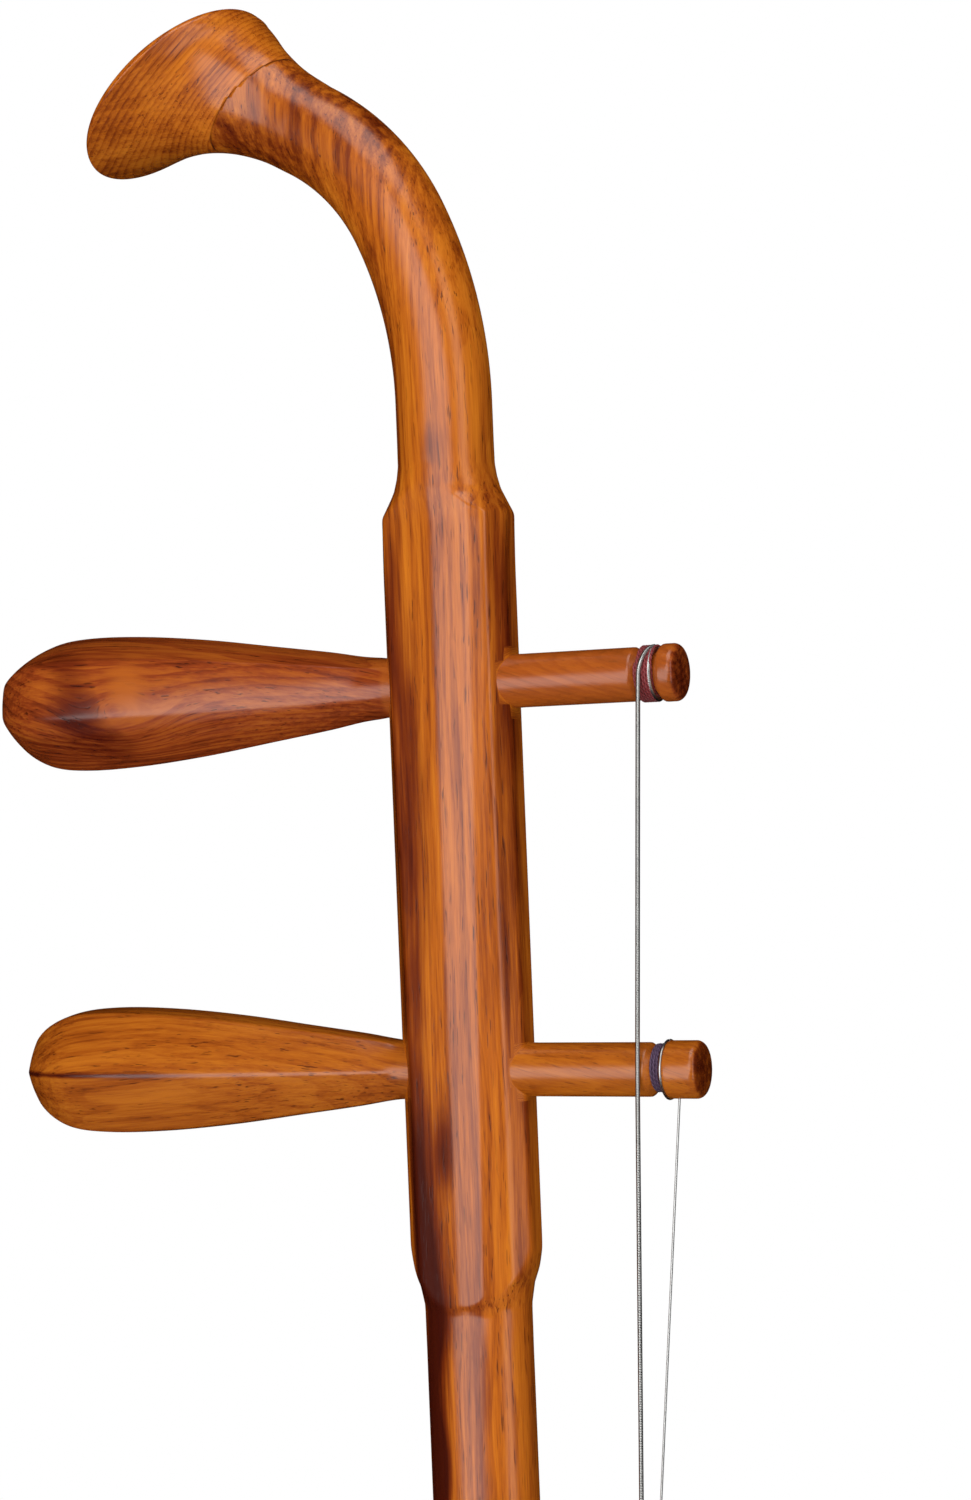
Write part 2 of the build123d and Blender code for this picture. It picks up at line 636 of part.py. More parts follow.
save(string_hitch(), "string_hitch")
save(hitch_bar(), "hitch_bar")
save(hitch_screws(), "hitch_screws")
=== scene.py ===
import math

import bmesh
import bpy
import numpy as np
from mathutils import Matrix, Vector


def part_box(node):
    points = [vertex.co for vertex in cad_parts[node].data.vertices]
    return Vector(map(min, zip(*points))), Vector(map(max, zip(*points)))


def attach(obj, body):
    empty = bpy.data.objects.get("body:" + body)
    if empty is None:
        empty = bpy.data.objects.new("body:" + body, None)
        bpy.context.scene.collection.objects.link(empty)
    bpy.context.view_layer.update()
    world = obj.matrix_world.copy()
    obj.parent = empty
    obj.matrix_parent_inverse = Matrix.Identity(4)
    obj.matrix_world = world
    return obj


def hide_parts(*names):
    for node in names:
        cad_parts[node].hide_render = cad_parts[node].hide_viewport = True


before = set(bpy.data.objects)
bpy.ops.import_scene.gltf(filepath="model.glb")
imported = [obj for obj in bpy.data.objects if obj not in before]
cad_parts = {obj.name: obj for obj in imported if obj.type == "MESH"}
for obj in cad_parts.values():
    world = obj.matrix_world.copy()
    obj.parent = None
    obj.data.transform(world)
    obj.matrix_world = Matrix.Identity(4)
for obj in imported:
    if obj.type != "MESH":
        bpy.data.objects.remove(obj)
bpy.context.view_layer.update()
MM = 0.001

# ---- dimensions shared with the CAD part, in millimetres -----------------------------------
NECK_A = 11.35
NECK_B = 9.5
NECK_FOOT = 86.0
HEAD_R = 10.0
HEAD_X = 0.3
HEAD_BEND_Z = 742.0
BENDS = ((90.0, 25.0), (49.0, 35.0))
FLARE = (
    (0.0, 0.0, 10.0, 0.0),
    (7.5, -0.3, 10.5, 0.0),
    (15.0, -0.4, 12.3, 3.5),
    (21.0, 0.1, 15.0, 8.3),
    (25.8, 1.7, 18.0, 13.0),
    (29.4, 3.9, 21.2, 17.8),
    (32.4, 5.9, 23.8, 20.4),
)
CAP_EDGE_R = 1.6
CAP_HEIGHT = 7.9
SPLICE = (14.0, 0.0, 17.0)
PEGS = {
    "upper": dict(z=683.8, shift=0.0, twist=8.0, groove=(41.6, 45.8), tip=50.3),
    "lower": dict(z=604.2, shift=3.4, twist=30.0, groove=(41.4, 43.6), tip=51.6),
}
HANDLE = ((106.7, 4.6), (105.6, 7.2), (103.0, 9.9), (99.0, 12.4), (94.4, 14.0), (86.8, 14.7),
          (74.0, 14.3), (58.0, 12.7), (41.5, 10.3), (28.0, 8.3), (20.0, 6.9), (13.0, 6.3))
MOUTH_X = -19.85
MOUTH_R = 6.3
FRONT_X = 15.85
SHAFT_R = 5.5
BUTTON_R = 5.85
GROOVE_R = 4.3
BOX_Z = 56.0               # height of the soundbox axis
SKIN_APOTHEM = 43.8        # centre to flat, outside the skin
FIT_GAP = 0.05             # clearance of the pegs in the neck


# ---- mesh helpers --------------------------------------------------------------------------
def link(name, data):
    """New object in the scene."""
    obj = bpy.data.objects.new(name, data)
    bpy.context.scene.collection.objects.link(obj)
    return obj


def mesh_object(name, points, faces, body, material, attributes=None, smooth=True):
    """Mesh from points in millimetres, riding on a CAD body."""
    mesh = bpy.data.meshes.new(name)
    mesh.from_pydata([tuple(p) for p in np.asarray(points) * MM], [], faces)
    mesh.update()
    for key, values in (attributes or {}).items():
        values = np.asarray(values, dtype=np.float32)
        kind = "FLOAT_VECTOR" if values.ndim == 2 else "FLOAT"
        layer = mesh.attributes.new(key, kind, "POINT")
        layer.data.foreach_set("vector" if values.ndim == 2 else "value", values.ravel())
    if smooth:
        mesh.shade_smooth()
    obj = link(name, mesh)
    mesh.materials.append(material)
    if body:
        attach(obj, body)
    return obj


def ring_object(name, rings, body, material, attributes=None, inward=False, smooth=True):
    """Closed mesh through rings of points; inward turns its faces over."""
    columns = len(rings[0])
    faces = []
    for start in range(0, (len(rings) - 1) * columns, columns):
        for j in range(columns):
            k = (j + 1) % columns
            faces.append((start + j, start + k, start + columns + k, start + columns + j))
    faces.append(tuple(range(columns - 1, -1, -1)))
    faces.append(tuple((len(rings) - 1) * columns + j for j in range(columns)))
    if inward:
        faces = [face[::-1] for face in faces]
    return mesh_object(name, np.concatenate(rings), faces, body, material, attributes, smooth)


def smooth_rows(rows, per_span):
    """Catmull-Rom curve through rows of numbers."""
    rows = np.asarray(rows, float)
    padded = np.vstack([2 * rows[0] - rows[1], rows, 2 * rows[-1] - rows[-2]])
    out = []
    for i in range(1, len(padded) - 2):
        p0, p1, p2, p3 = padded[i - 1:i + 3]
        gaps = [np.linalg.norm(b - a) for a, b in ((p0, p1), (p1, p2), (p2, p3))]
        knots = np.cumsum([0.0] + [max(gap, 1e-6) ** 0.5 for gap in gaps])

        def between(t, first, last, a, b):
            """Straight blend from a at one knot to b at another."""
            span = knots[last] - knots[first]
            return (knots[last] - t) / span * a + (t - knots[first]) / span * b
        for t in np.linspace(knots[1], knots[2], per_span, endpoint=False):
            a1 = between(t, 0, 1, p0, p1)
            a2 = between(t, 1, 2, p1, p2)
            a3 = between(t, 2, 3, p2, p3)
            out.append(between(t, 1, 2, between(t, 0, 2, a1, a2), between(t, 1, 3, a2, a3)))
    out.append(rows[-1])
    return np.array(out)


END_SHARE = 0.35           # radius of a wire's cut end, as a share of the wire's own


def tube(name, path, radius, body, material, sides=12):
    """Round wire or thread along a path of points, narrowed at its ends."""
    path = np.asarray(path, float)
    tangents = np.gradient(path, axis=0)
    tangents /= np.linalg.norm(tangents, axis=1)[:, None]
    side = np.cross(tangents[0], (0.3, 0.5, 0.8))
    side /= np.linalg.norm(side)
    angles = np.linspace(0, 2 * np.pi, sides, endpoint=False)
    rings = []
    grain = []
    length = 0.0
    for i, (centre, tangent) in enumerate(zip(path, tangents)):
        side = side - tangent * np.dot(side, tangent)
        side /= np.linalg.norm(side)
        other = np.cross(tangent, side)
        if i:
            length += np.linalg.norm(centre - path[i - 1])
        r = radius * (END_SHARE if i in (0, len(path) - 1) else 1.0)
        cosine = np.cos(angles)[:, None]
        sine = np.sin(angles)[:, None]
        rings.append(centre + r * (cosine * side + sine * other))
        grain.append(np.hstack([np.full_like(cosine, length), radius * cosine, radius * sine]))
    return ring_object(name, rings, body, material, {"grain": np.concatenate(grain)})


def step(x, low, high):
    """Smooth step from 0 at low to 1 at high."""
    t = np.clip((x - low) / (high - low), 0.0, 1.0)
    return t * t * (3 - 2 * t)


# ---- material helpers ----------------------------------------------------------------------
class Nodes:
    """Short calls for building a node tree."""

    def __init__(self, name):
        self.material = bpy.data.materials.new(name)
        self.material.use_nodes = True
        self.tree = self.material.node_tree
        self.shader = self.tree.nodes["Principled BSDF"]

    def put(self, socket, value):
        if isinstance(value, bpy.types.NodeSocket):
            self.tree.links.new(value, socket)
        else:
            socket.default_value = value

    def add(self, kind, inputs=None, **settings):
        node = self.tree.nodes.new(kind)
        for key, value in settings.items():
            setattr(node, key, value)
        for key, value in (inputs or {}).items():
            self.put(node.inputs[key], value)
        return node

    def math(self, operation, a, b=0.0, c=0.0):
        return self.add("ShaderNodeMath", {0: a, 1: b, 2: c}, operation=operation).outputs[0]

    def times(self, a, b):
        return self.math("MULTIPLY", a, b)

    def minus(self, a, b):
        return self.math("SUBTRACT", a, b)

    def muladd(self, a, b, c):
        return self.math("MULTIPLY_ADD", a, b, c)

    def attribute(self, name, output="Vector"):
        return self.add("ShaderNodeAttribute", attribute_name=name).outputs[output]

    def place(self):
        """Position on the object, in millimetres."""
        coordinate = self.add("ShaderNodeTexCoord").outputs["Object"]
        return self.scaled(coordinate, (1000.0, 1000.0, 1000.0))

    def scaled(self, vector, scale):
        node = self.add("ShaderNodeVectorMath", {0: vector, 1: scale}, operation="MULTIPLY")
        return node.outputs[0]

    def plus(self, a, b):
        return self.add("ShaderNodeVectorMath", {0: a, 1: b}, operation="ADD").outputs[0]

    def noise(self, vector, scale=1.0, detail=2.0, rough=0.5, output="Fac"):
        inputs = {"Vector": vector, "Scale": scale, "Detail": detail, "Roughness": rough}
        return self.add("ShaderNodeTexNoise", inputs).outputs[output]

    def ramp(self, value, stops):
        node = self.add("ShaderNodeValToRGB", {"Fac": value})
        elements = node.color_ramp.elements
        while len(elements) < len(stops):
            elements.new(0.5)
        for element, (position, colour) in zip(elements, stops):
            element.position = position
            element.color = tuple(colour) + (1.0,)
        return node.outputs["Color"]

    def band(self, value, low, high):
        """0 below low, 1 above high."""
        node = self.add("ShaderNodeMapRange", {"Value": value, "From Min": low, "From Max": high},
                        interpolation_type="SMOOTHSTEP")
        return node.outputs["Result"]

    def mix(self, factor, a, b, blend="MIX"):
        node = self.add("ShaderNodeMix", data_type="RGBA", blend_type=blend)
        self.put(node.inputs[0], factor)
        for index, value in ((6, a), (7, b)):
            if not isinstance(value, bpy.types.NodeSocket) and len(value) == 3:
                value = tuple(value) + (1.0,)
            self.put(node.inputs[index], value)
        return node.outputs[2]

    def split(self, vector):
        return self.add("ShaderNodeSeparateXYZ", {0: vector}).outputs

    def joined(self, x, y, z):
        return self.add("ShaderNodeCombineXYZ", {0: x, 1: y, 2: z}).outputs[0]

    def bump(self, height, strength, distance_mm):
        inputs = {"Height": height, "Strength": strength, "Distance": distance_mm * MM}
        return self.add("ShaderNodeBump", inputs).outputs[0]

    def finish(self, **sockets):
        """Fill the shader's sockets, named as in base_color, and return the material."""
        for key, value in sockets.items():
            label = key.replace("_", " ").title().replace("Ior", "IOR")
            self.put(self.shader.inputs[label], value)
        return self.material


def tinted(colour, share):
    """Colour times a number."""
    return tuple(min(1.0, c * share) for c in colour)


PORE_START = 0.62          # noise level where the pores start
VEIL_TINT = (0.32, 0.13, 0.15)
HEARTWOOD = (0.045, 0.004, 0.0015)
GLUE = (0.030, 0.006, 0.002)


def wood(name, shades, ring=2.6, pith=(26.0, -34.0), rough=0.24, contrast=1.0, patches=True,
         fibres=None, figure=0.07, waver=4.0, seam=False):
    """Lacquered wood in three shades, from light to dark.

    Grain coordinates are in millimetres, x along the fibres: an attribute, or the place on the
    object with its axes taken in the order of fibres. The growth rings are about the pith.
    """
    light, mid, dark = shades
    n = Nodes(name)
    if fibres:
        place = n.split(n.place())
        grain = n.joined(*(place[axis] for axis in fibres))
    else:
        grain = n.attribute("grain")
    drift = n.noise(n.scaled(grain, (0.010, 0.04, 0.04)), detail=1.0, output="Color")
    drift = n.scaled(n.plus(drift, (-0.5, -0.5, -0.5)), (0.0, 4.0, 4.0))
    fibre = n.plus(grain, drift)
    broad = n.noise(n.scaled(fibre, (0.006, 0.13, 0.13)), detail=2.0)
    streak = n.noise(n.scaled(fibre, (0.022, 0.60, 0.60)), detail=3.0, rough=0.55)
    fine = n.noise(n.scaled(fibre, (0.09, 2.3, 2.3)), detail=3.0, rough=0.65)
    across, depth = n.split(fibre)[1:3]
    out_y = n.minus(across, pith[0])
    out_z = n.minus(depth, pith[1])
    square_z = n.times(out_z, out_z)
    ring_r = n.math("SQRT", n.math("ADD", n.times(out_y, out_y), square_z))
    wobble = n.noise(n.scaled(fibre, (0.02, 0.16, 0.16)), detail=2.0)
    ring_phase = n.muladd(wobble, waver, n.math("DIVIDE", ring_r, ring))
    rings = n.math("FRACT", ring_phase)
    rings = n.times(n.band(rings, 0.35, 0.93), n.minus(1.0, n.band(rings, 0.93, 1.0)))
    tone = n.muladd(streak, 0.42, n.times(fine, 0.42))
    tone = n.muladd(broad, 0.62, tone)
    tone = n.muladd(rings, figure, tone)
    span = 0.24 / contrast
    colour = n.ramp(n.band(tone, 0.75 - span, 0.75 + span), ((0.0, light), (0.5, mid), (1.0, dark)))
    pores = n.noise(n.scaled(fibre, (0.17, 3.2, 3.2)), detail=1.0)
    pores = n.band(pores, PORE_START, PORE_START + 0.08)
    pores = n.times(pores, n.band(streak, 0.36, 0.60))
    colour = n.mix(n.times(pores, 0.75), colour, tinted(dark, 0.30))
    if patches:
        shade = n.attribute("shade", "Fac")
        gleam = n.band(n.times(shade, -1.0), 0.05, 0.9)
        colour = n.mix(n.times(gleam, 0.8), colour, light)
        cloud = n.noise(n.scaled(fibre, (0.035, 0.22, 0.22)), detail=3.0)
        ragged = n.muladd(n.minus(streak, 0.5), 0.7, shade)
        ragged = n.muladd(n.minus(cloud, 0.5), 1.0, ragged)
        present = n.band(shade, 0.02, 0.20)
        veil = n.times(present, n.band(ragged, -0.05, 0.75))
        veiled = n.mix(1.0, colour, VEIL_TINT, blend="MULTIPLY")
        colour = n.mix(n.times(veil, 0.88), colour, veiled)
        heart = n.times(present, n.band(ragged, 0.50, 1.25))
        colour = n.mix(n.times(heart, 0.92), colour, HEARTWOOD)
    height = n.muladd(pores, -1.0, n.times(fine, 0.35))
    if seam:
        gap = n.math("ABSOLUTE", n.attribute("seam", "Fac"))
        glue = n.minus(1.0, n.band(gap, 0.06, 0.24))
        glue = n.times(glue, n.band(broad, 0.25, 0.60))
        colour = n.mix(n.times(glue, 0.75), colour, GLUE)
        height = n.muladd(glue, -2.0, height)
    return n.finish(base_color=colour, roughness=n.muladd(fine, 0.12, rough - 0.06),
                    normal=n.bump(height, 0.12, 0.12), ior=1.5)


ROSE = ((0.60, 0.175, 0.010), (0.44, 0.103, 0.005), (0.19, 0.028, 0.0015))
RED_ROSE = ((0.40, 0.095, 0.009), (0.24, 0.038, 0.005), (0.085, 0.010, 0.001))
BROWN_ROSE = ((0.46, 0.130, 0.008), (0.33, 0.074, 0.004), (0.15, 0.023, 0.0012))
BOARD_ROSE = ((0.58, 0.170, 0.012), (0.42, 0.098, 0.005), (0.16, 0.024, 0.0015))
DARK_ROSE = ((0.30, 0.075, 0.012), (0.17, 0.036, 0.006), (0.055, 0.010, 0.002))
MAPLE = ((0.70, 0.47, 0.24), (0.58, 0.36, 0.16), (0.36, 0.19, 0.07))
neck_material = wood("neck_rosewood", ROSE, ring=2.3, pith=(-150.0, 8.0), figure=0.08,
                     waver=2.5, contrast=0.85, seam=True)
finial_material = wood("finial_rosewood", ROSE, ring=1.05, pith=(-900.0, 0.0), patches=False,
                       figure=0.13, waver=0.5, contrast=0.8, seam=True)
upper_peg_material = wood("upper_peg_rosewood", RED_ROSE, ring=1.5, pith=(40.0, -60.0),
                          figure=0.10, waver=2.0, contrast=0.8)
lower_peg_material = wood("lower_peg_rosewood", BROWN_ROSE, ring=1.8, pith=(50.0, 40.0),
                          figure=0.08, waver=2.0, contrast=0.85)


# ---- neck and head -------------------------------------------------------------------------
def polar_oval(angle, half_x, half_y):
    return 1.0 / np.sqrt((np.cos(angle) / half_x) ** 2 + (np.sin(angle) / half_y) ** 2)


def facet_sum(angle, facets, power):
    """Sum over facets (direction in degrees, distance) of their reach to a negative power.

    The sum's own negative root is the outline that they cut, with slightly eased corners.
    """
    total = np.zeros(len(angle))
    for direction, distance in facets:
        cosine = np.cos(angle - math.radians(direction))
        total += np.where(cosine > 0.05, (distance / np.maximum(cosine, 0.05)) ** -power, 0.0)
    return total


EDGE_POWER = 90.0          # larger is a crisper edge between two planed facets
NEAR_RIDGE = (0.3, 9.66)   # soft ridge along each planed side: how far forward, how far out
SIDE_LEANS = (-3.5, 11.0)  # the two planes of a side, in degrees from square
BEVEL_TURN = 61.0          # narrow bevel between a side and its front diagonal


BEVEL_BACK = 2.6           # how far the bevel starts behind the side's front edge
BEVEL_Y = 9.33
BLOCK_LOW = 569.0          # the planed block, its front corner, and the half width of its sides
BLOCK_HIGH = 714.0
BLOCK_CORNER = (13.85, 2.7)
BLOCK_HALF_Y = 9.45
BLOCK_SIDE_LOW = 8.0
BLOCK_SIDE_HIGH = 10.3
FACETS_LOW = 540.0         # the facets fade out below and above these heights
FACETS_HIGH = 733.0

# How much wider than the lower neck the section is, front to back and side to side, by height.
GROW_A = ((546, 0), (556, 0.12), (560, 0.6), (563.4, 1.7), (570, 3.3), (578, 8), (704, 8),
          (712, 6.6), (716, 3.7), (719.6, 2.0), (723.9, -0.15), (726.5, -0.9), (729, -1.3),
          (733.5, -1.35))
GROW_B = ((540, 0), (546, -0.1), (551, -0.3), (554.6, -0.5), (556, -0.2), (558.2, 0.9),
          (562.4, 3.2), (568, 6), (578, 10), (704, 10), (712, 8), (716, 5.0), (720, 2.3),
          (722.5, 1.1), (724.5, 0.75), (729, 0.5))


def facets_at(z):
    """Planed facets of the peg block at height z: direction in degrees and distance."""
    share = (z - BLOCK_LOW) / (BLOCK_HIGH - BLOCK_LOW)
    side_half = BLOCK_SIDE_LOW + (BLOCK_SIDE_HIGH - BLOCK_SIDE_LOW) * share
    corner = BLOCK_CORNER
    other = (side_half, BLOCK_HALF_Y)
    tilt = math.degrees(math.atan2(corner[0] - other[0], other[1] - corner[1]))

    def reach(direction, x, y):
        return x * math.cos(math.radians(direction)) + y * math.sin(math.radians(direction))
    found = [(0.0, corner[0]), (180.0, corner[0])]
    found += [(a, reach(tilt, *corner)) for a in (tilt, 180 - tilt, 180 + tilt, -tilt)]
    for side in (1, -1):
        for lean in SIDE_LEANS:
            direction = side * (90.0 + lean)
            found.append((direction, reach(direction, NEAR_RIDGE[0], side * NEAR_RIDGE[1])))
    bevel_reach = reach(BEVEL_TURN, side_half - BEVEL_BACK, BEVEL_Y)
    found += [(side * BEVEL_TURN, bevel_reach) for side in (1, -1)]
    return found


def block_radius(angle, z):
    """Section of the neck at height z, from round to planed and back."""
    grow_a = np.interp(z, *zip(*GROW_A))
    grow_b = np.interp(z, *zip(*GROW_B))
    inverse = polar_oval(angle, NECK_A + grow_a, NECK_B + grow_b) ** -EDGE_POWER
    if FACETS_LOW < z < FACETS_HIGH:
        away = 1.4 * step(z, 716.0, FACETS_HIGH) + 0.9 * max(0.0, (554.5 - z) / 8.0) ** 2
        facets = [(direction, distance + away) for direction, distance in facets_at(z)]
        inverse = inverse + facet_sum(angle, facets, EDGE_POWER)
    return inverse ** (-1.0 / EDGE_POWER)


def head_point(turned):
    x = HEAD_X
    z = HEAD_BEND_Z
    done = 0.0
    for radius, turn in BENDS:
        part = min(turn, turned - done)
        if part <= 0:
            break
        x -= radius * (math.cos(math.radians(done)) - math.cos(math.radians(done + part)))
        z += radius * (math.sin(math.radians(done + part)) - math.sin(math.radians(done)))
        done += part
    return np.array((x, 0.0, z))


def head_direction(turned):
    return np.array((-math.sin(math.radians(turned)), 0.0, math.cos(math.radians(turned))))


def head_up(turned):
    return np.array((math.cos(math.radians(turned)), 0.0, math.sin(math.radians(turned))))


HEAD_TURN = sum(turn for radius, turn in BENDS)


def flare_frame(along, drop, lean):
    """Origin, direction and upward direction of a section of the flared end."""
    direction = head_direction(HEAD_TURN)
    up = head_up(HEAD_TURN)
    origin = head_point(HEAD_TURN) + direction * along - up * drop
    lean = math.radians(lean)
    leaning = direction * math.cos(lean) + up * math.sin(lean)
    return origin, leaning, up * math.cos(lean) - direction * math.sin(lean)


COLUMNS = 208
ACROSS = np.array((0.0, 1.0, 0.0))
# Spacing of the rings by height, closest where the section changes.
RING_RUNS = ((NECK_FOOT, 500, 12.0), (500, 546, 3.0), (546, 580, 0.5), (580, 704, 3.0),
             (704, 735, 0.45), (735, HEAD_BEND_Z, 1.5))


def head_rings():
    """Rings of points of the whole neck, from its foot to the cap of the flared end."""
    angle = np.linspace(0, 2 * np.pi, COLUMNS, endpoint=False)

    def circle(centre, radius, up):
        return centre + radius * (np.cos(angle)[:, None] * up + np.sin(angle)[:, None] * ACROSS)
    points = []
    for z in np.concatenate([np.arange(*run) for run in RING_RUNS]):
        r = block_radius(angle, z)
        middle = HEAD_X * step(z, 705.0, 727.0)
        points.append(np.stack([middle + r * np.cos(angle), r * np.sin(angle), np.full(COLUMNS, z)], 1))
    turned = 0.0
    while turned < HEAD_TURN - 0.01:
        points.append(circle(head_point(turned), HEAD_R, head_up(turned)))
        turned += 1.0
    for along, drop, radius, lean in smooth_rows(FLARE, 9):
        origin, direction, up = flare_frame(along, drop, lean)
        points.append(circle(origin, radius, up))
    along, drop, radius, lean = FLARE[-1]
    origin, direction, up = flare_frame(along, drop, lean)
    edge_x = radius - CAP_EDGE_R
    dome_r = (edge_x ** 2 + CAP_HEIGHT ** 2 - CAP_EDGE_R ** 2) / (2 * (CAP_HEIGHT - CAP_EDGE_R))
    meet = math.atan2(dome_r - CAP_HEIGHT, edge_x)
    profile = [(edge_x + CAP_EDGE_R * math.cos(t), CAP_EDGE_R * math.sin(t))
               for t in np.linspace(0, meet, 12)[1:]]
    profile += [(dome_r * math.cos(t), CAP_HEIGHT - dome_r + dome_r * math.sin(t))
                for t in np.linspace(meet, math.pi / 2, 16)[1:-1]]
    for r, out in profile:
        points.append(circle(origin + direction * out, r, up))
    return points


# Dark heartwood patches on the neck: height, direction round the neck in degrees, half length,
# half width in degrees, strength.
PATCHES = (
    (588.0, -104.0, 7.0, 13.0, 0.85),
    (596.0, -92.0, 10.0, 8.0, 0.35),
    (582.0, -142.0, 24.0, 17.0, 0.95),
    (566.0, -130.0, 14.0, 18.0, 0.90),
    (553.0, -122.0, 9.0, 20.0, 1.00),
    (538.0, -138.0, 13.0, 16.0, 1.10),
    (524.0, -124.0, 10.0, 15.0, 1.40),
    (508.0, -142.0, 16.0, 18.0, 0.80),
    (640.0, -138.0, 56.0, 24.0, 0.62),
    (672.0, -122.0, 18.0, 14.0, 0.42),
    (700.0, -142.0, 22.0, 12.0, 0.50),
    (700.0, -14.0, 34.0, 20.0, 0.52),
    (640.0, -12.0, 40.0, 20.0, 0.42),
    (520.0, -150.0, 40.0, 22.0, 0.45),
    (822.0, 160.0, 12.0, 30.0, 0.40),
    (733.0, -78.0, 4.5, 22.0, 0.40),
    (800.0, -168.0, 11.0, 30.0, 0.45),
)


def patch_shade(grain):
    height = grain[:, 0]
    angle = np.degrees(np.arctan2(grain[:, 2], grain[:, 1]))
    total = np.zeros(len(grain))
    for z, direction, half_length, half_width, strength in PATCHES:
        turn = (angle - direction + 180) % 360 - 180
        total += strength * np.exp(-((height - z) / half_length) ** 2 - (turn / half_width) ** 2)
    return total


def cut_by_plane(obj, origin, normal, keep_outer):
    """Keep one side of a plane and close the cut."""
    bm = bmesh.new()
    bm.from_mesh(obj.data)
    geometry = bm.verts[:] + bm.edges[:] + bm.faces[:]
    result = bmesh.ops.bisect_plane(bm, geom=geometry, plane_co=Vector(origin) * MM,
                                    plane_no=Vector(normal), clear_outer=not keep_outer,
                                    clear_inner=keep_outer)
    edges = [e for e in result["geom_cut"] if isinstance(e, bmesh.types.BMEdge)]
    made = bmesh.ops.contextual_create(bm, geom=edges)
    for face in made["faces"]:
        face.smooth = False
    bm.to_mesh(obj.data)
    bm.free()


def bore(obj, cutters):
    """Cut holes with an exact boolean and apply it."""
    for cutter in cutters:
        modifier = obj.modifiers.new("bore", "BOOLEAN")
        modifier.operation = "DIFFERENCE"
        modifier.solver = "EXACT"
        modifier.object = cutter
        deps = bpy.context.evaluated_depsgraph_get()
        mesh = bpy.data.meshes.new_from_object(obj.evaluated_get(deps))
        obj.modifiers.clear()
        old = obj.data
        obj.data = mesh
        bpy.data.meshes.remove(old)
        bpy.data.objects.remove(cutter)


def turned_solid(name, profile, z):
    """Solid of revolution about the line along X at height z; profile is (x, radius)."""
    angles = np.linspace(0, 2 * np.pi, 96, endpoint=False)
    rings = [[(x, r * math.cos(a), z + r * math.sin(a)) for a in angles] for x, r in profile]
    return ring_object(name, rings, None, neck_material, inward=True, smooth=False)


head_points = head_rings()
flat_points = np.concatenate(head_points)
straight_grain = flat_points[:, (2, 0, 1)]   # the fibres run straight up, also where the head bends away
splice_origin, splice_normal, _ = flare_frame(*SPLICE)
seam = (flat_points - splice_origin) @ splice_normal
# the flared end is cut from another board, with its rings standing nearly square to the side
FINIAL_FIBRES = np.array(((0.646, 0.288, 0.707), (-0.646, -0.288, 0.707), (0.407, -0.914, 0.0)))
finial_grain = flat_points @ FINIAL_FIBRES.T
neck = ring_object("neck_wood", head_points, "body", neck_material,
                   {"grain": straight_grain, "shade": patch_shade(straight_grain), "seam": seam})
finial = ring_object("finial_wood", head_points, "body", finial_material,
                     {"grain": finial_grain, "seam": seam})
cut_by_plane(neck, splice_origin, splice_normal, keep_outer=False)
cut_by_plane(finial, splice_origin, splice_normal, keep_outer=True)
bore_back = MOUTH_R + FIT_GAP
bore_front = SHAFT_R + FIT_GAP
bore_profile = ((-30.0, bore_back), (MOUTH_X, bore_back), (FRONT_X, bore_front), (30.0, bore_front))
bore(neck, [turned_solid("cutter", bore_profile, peg["z"]) for peg in PEGS.values()])
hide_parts("neck")
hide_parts("head_finial")


# ---- pegs ----------------------------------------------------------------------------------
def hexagon_radius(angle, ridge_r, twist, bevel):
    """Hand-planed hexagon with bulged faces; bevel is the share cut off one near ridge."""
    flat = ridge_r * math.cos(math.radians(30))
    polygon = facet_sum(angle, [(twist + 60 * k, flat) for k in range(6)], 60.0) ** (-1 / 60.0)
    bulged = polygon + (ridge_r - polygon) * 0.35
    if bevel:
        cosine = np.cos(angle - math.radians(twist - 30))
        limit = ridge_r * (1 - bevel) / np.maximum(cosine, 0.05)
        bulged = np.where(cosine > 0.5, (bulged ** -150.0 + limit ** -150.0) ** (-1 / 150.0), bulged)
    return bulged


PEG_COLUMNS = 160
TIP_ROUND_R = 1.5
HANDLE_START = -14.0       # the hand-planed part is behind here


def spot(along, up, middle, spread):
    """Soft round spot on the peg: 1 in its middle, fading to 0."""
    return np.exp(-((along - middle[0]) / spread[0]) ** 2 - ((up - middle[1]) / spread[1]) ** 2)


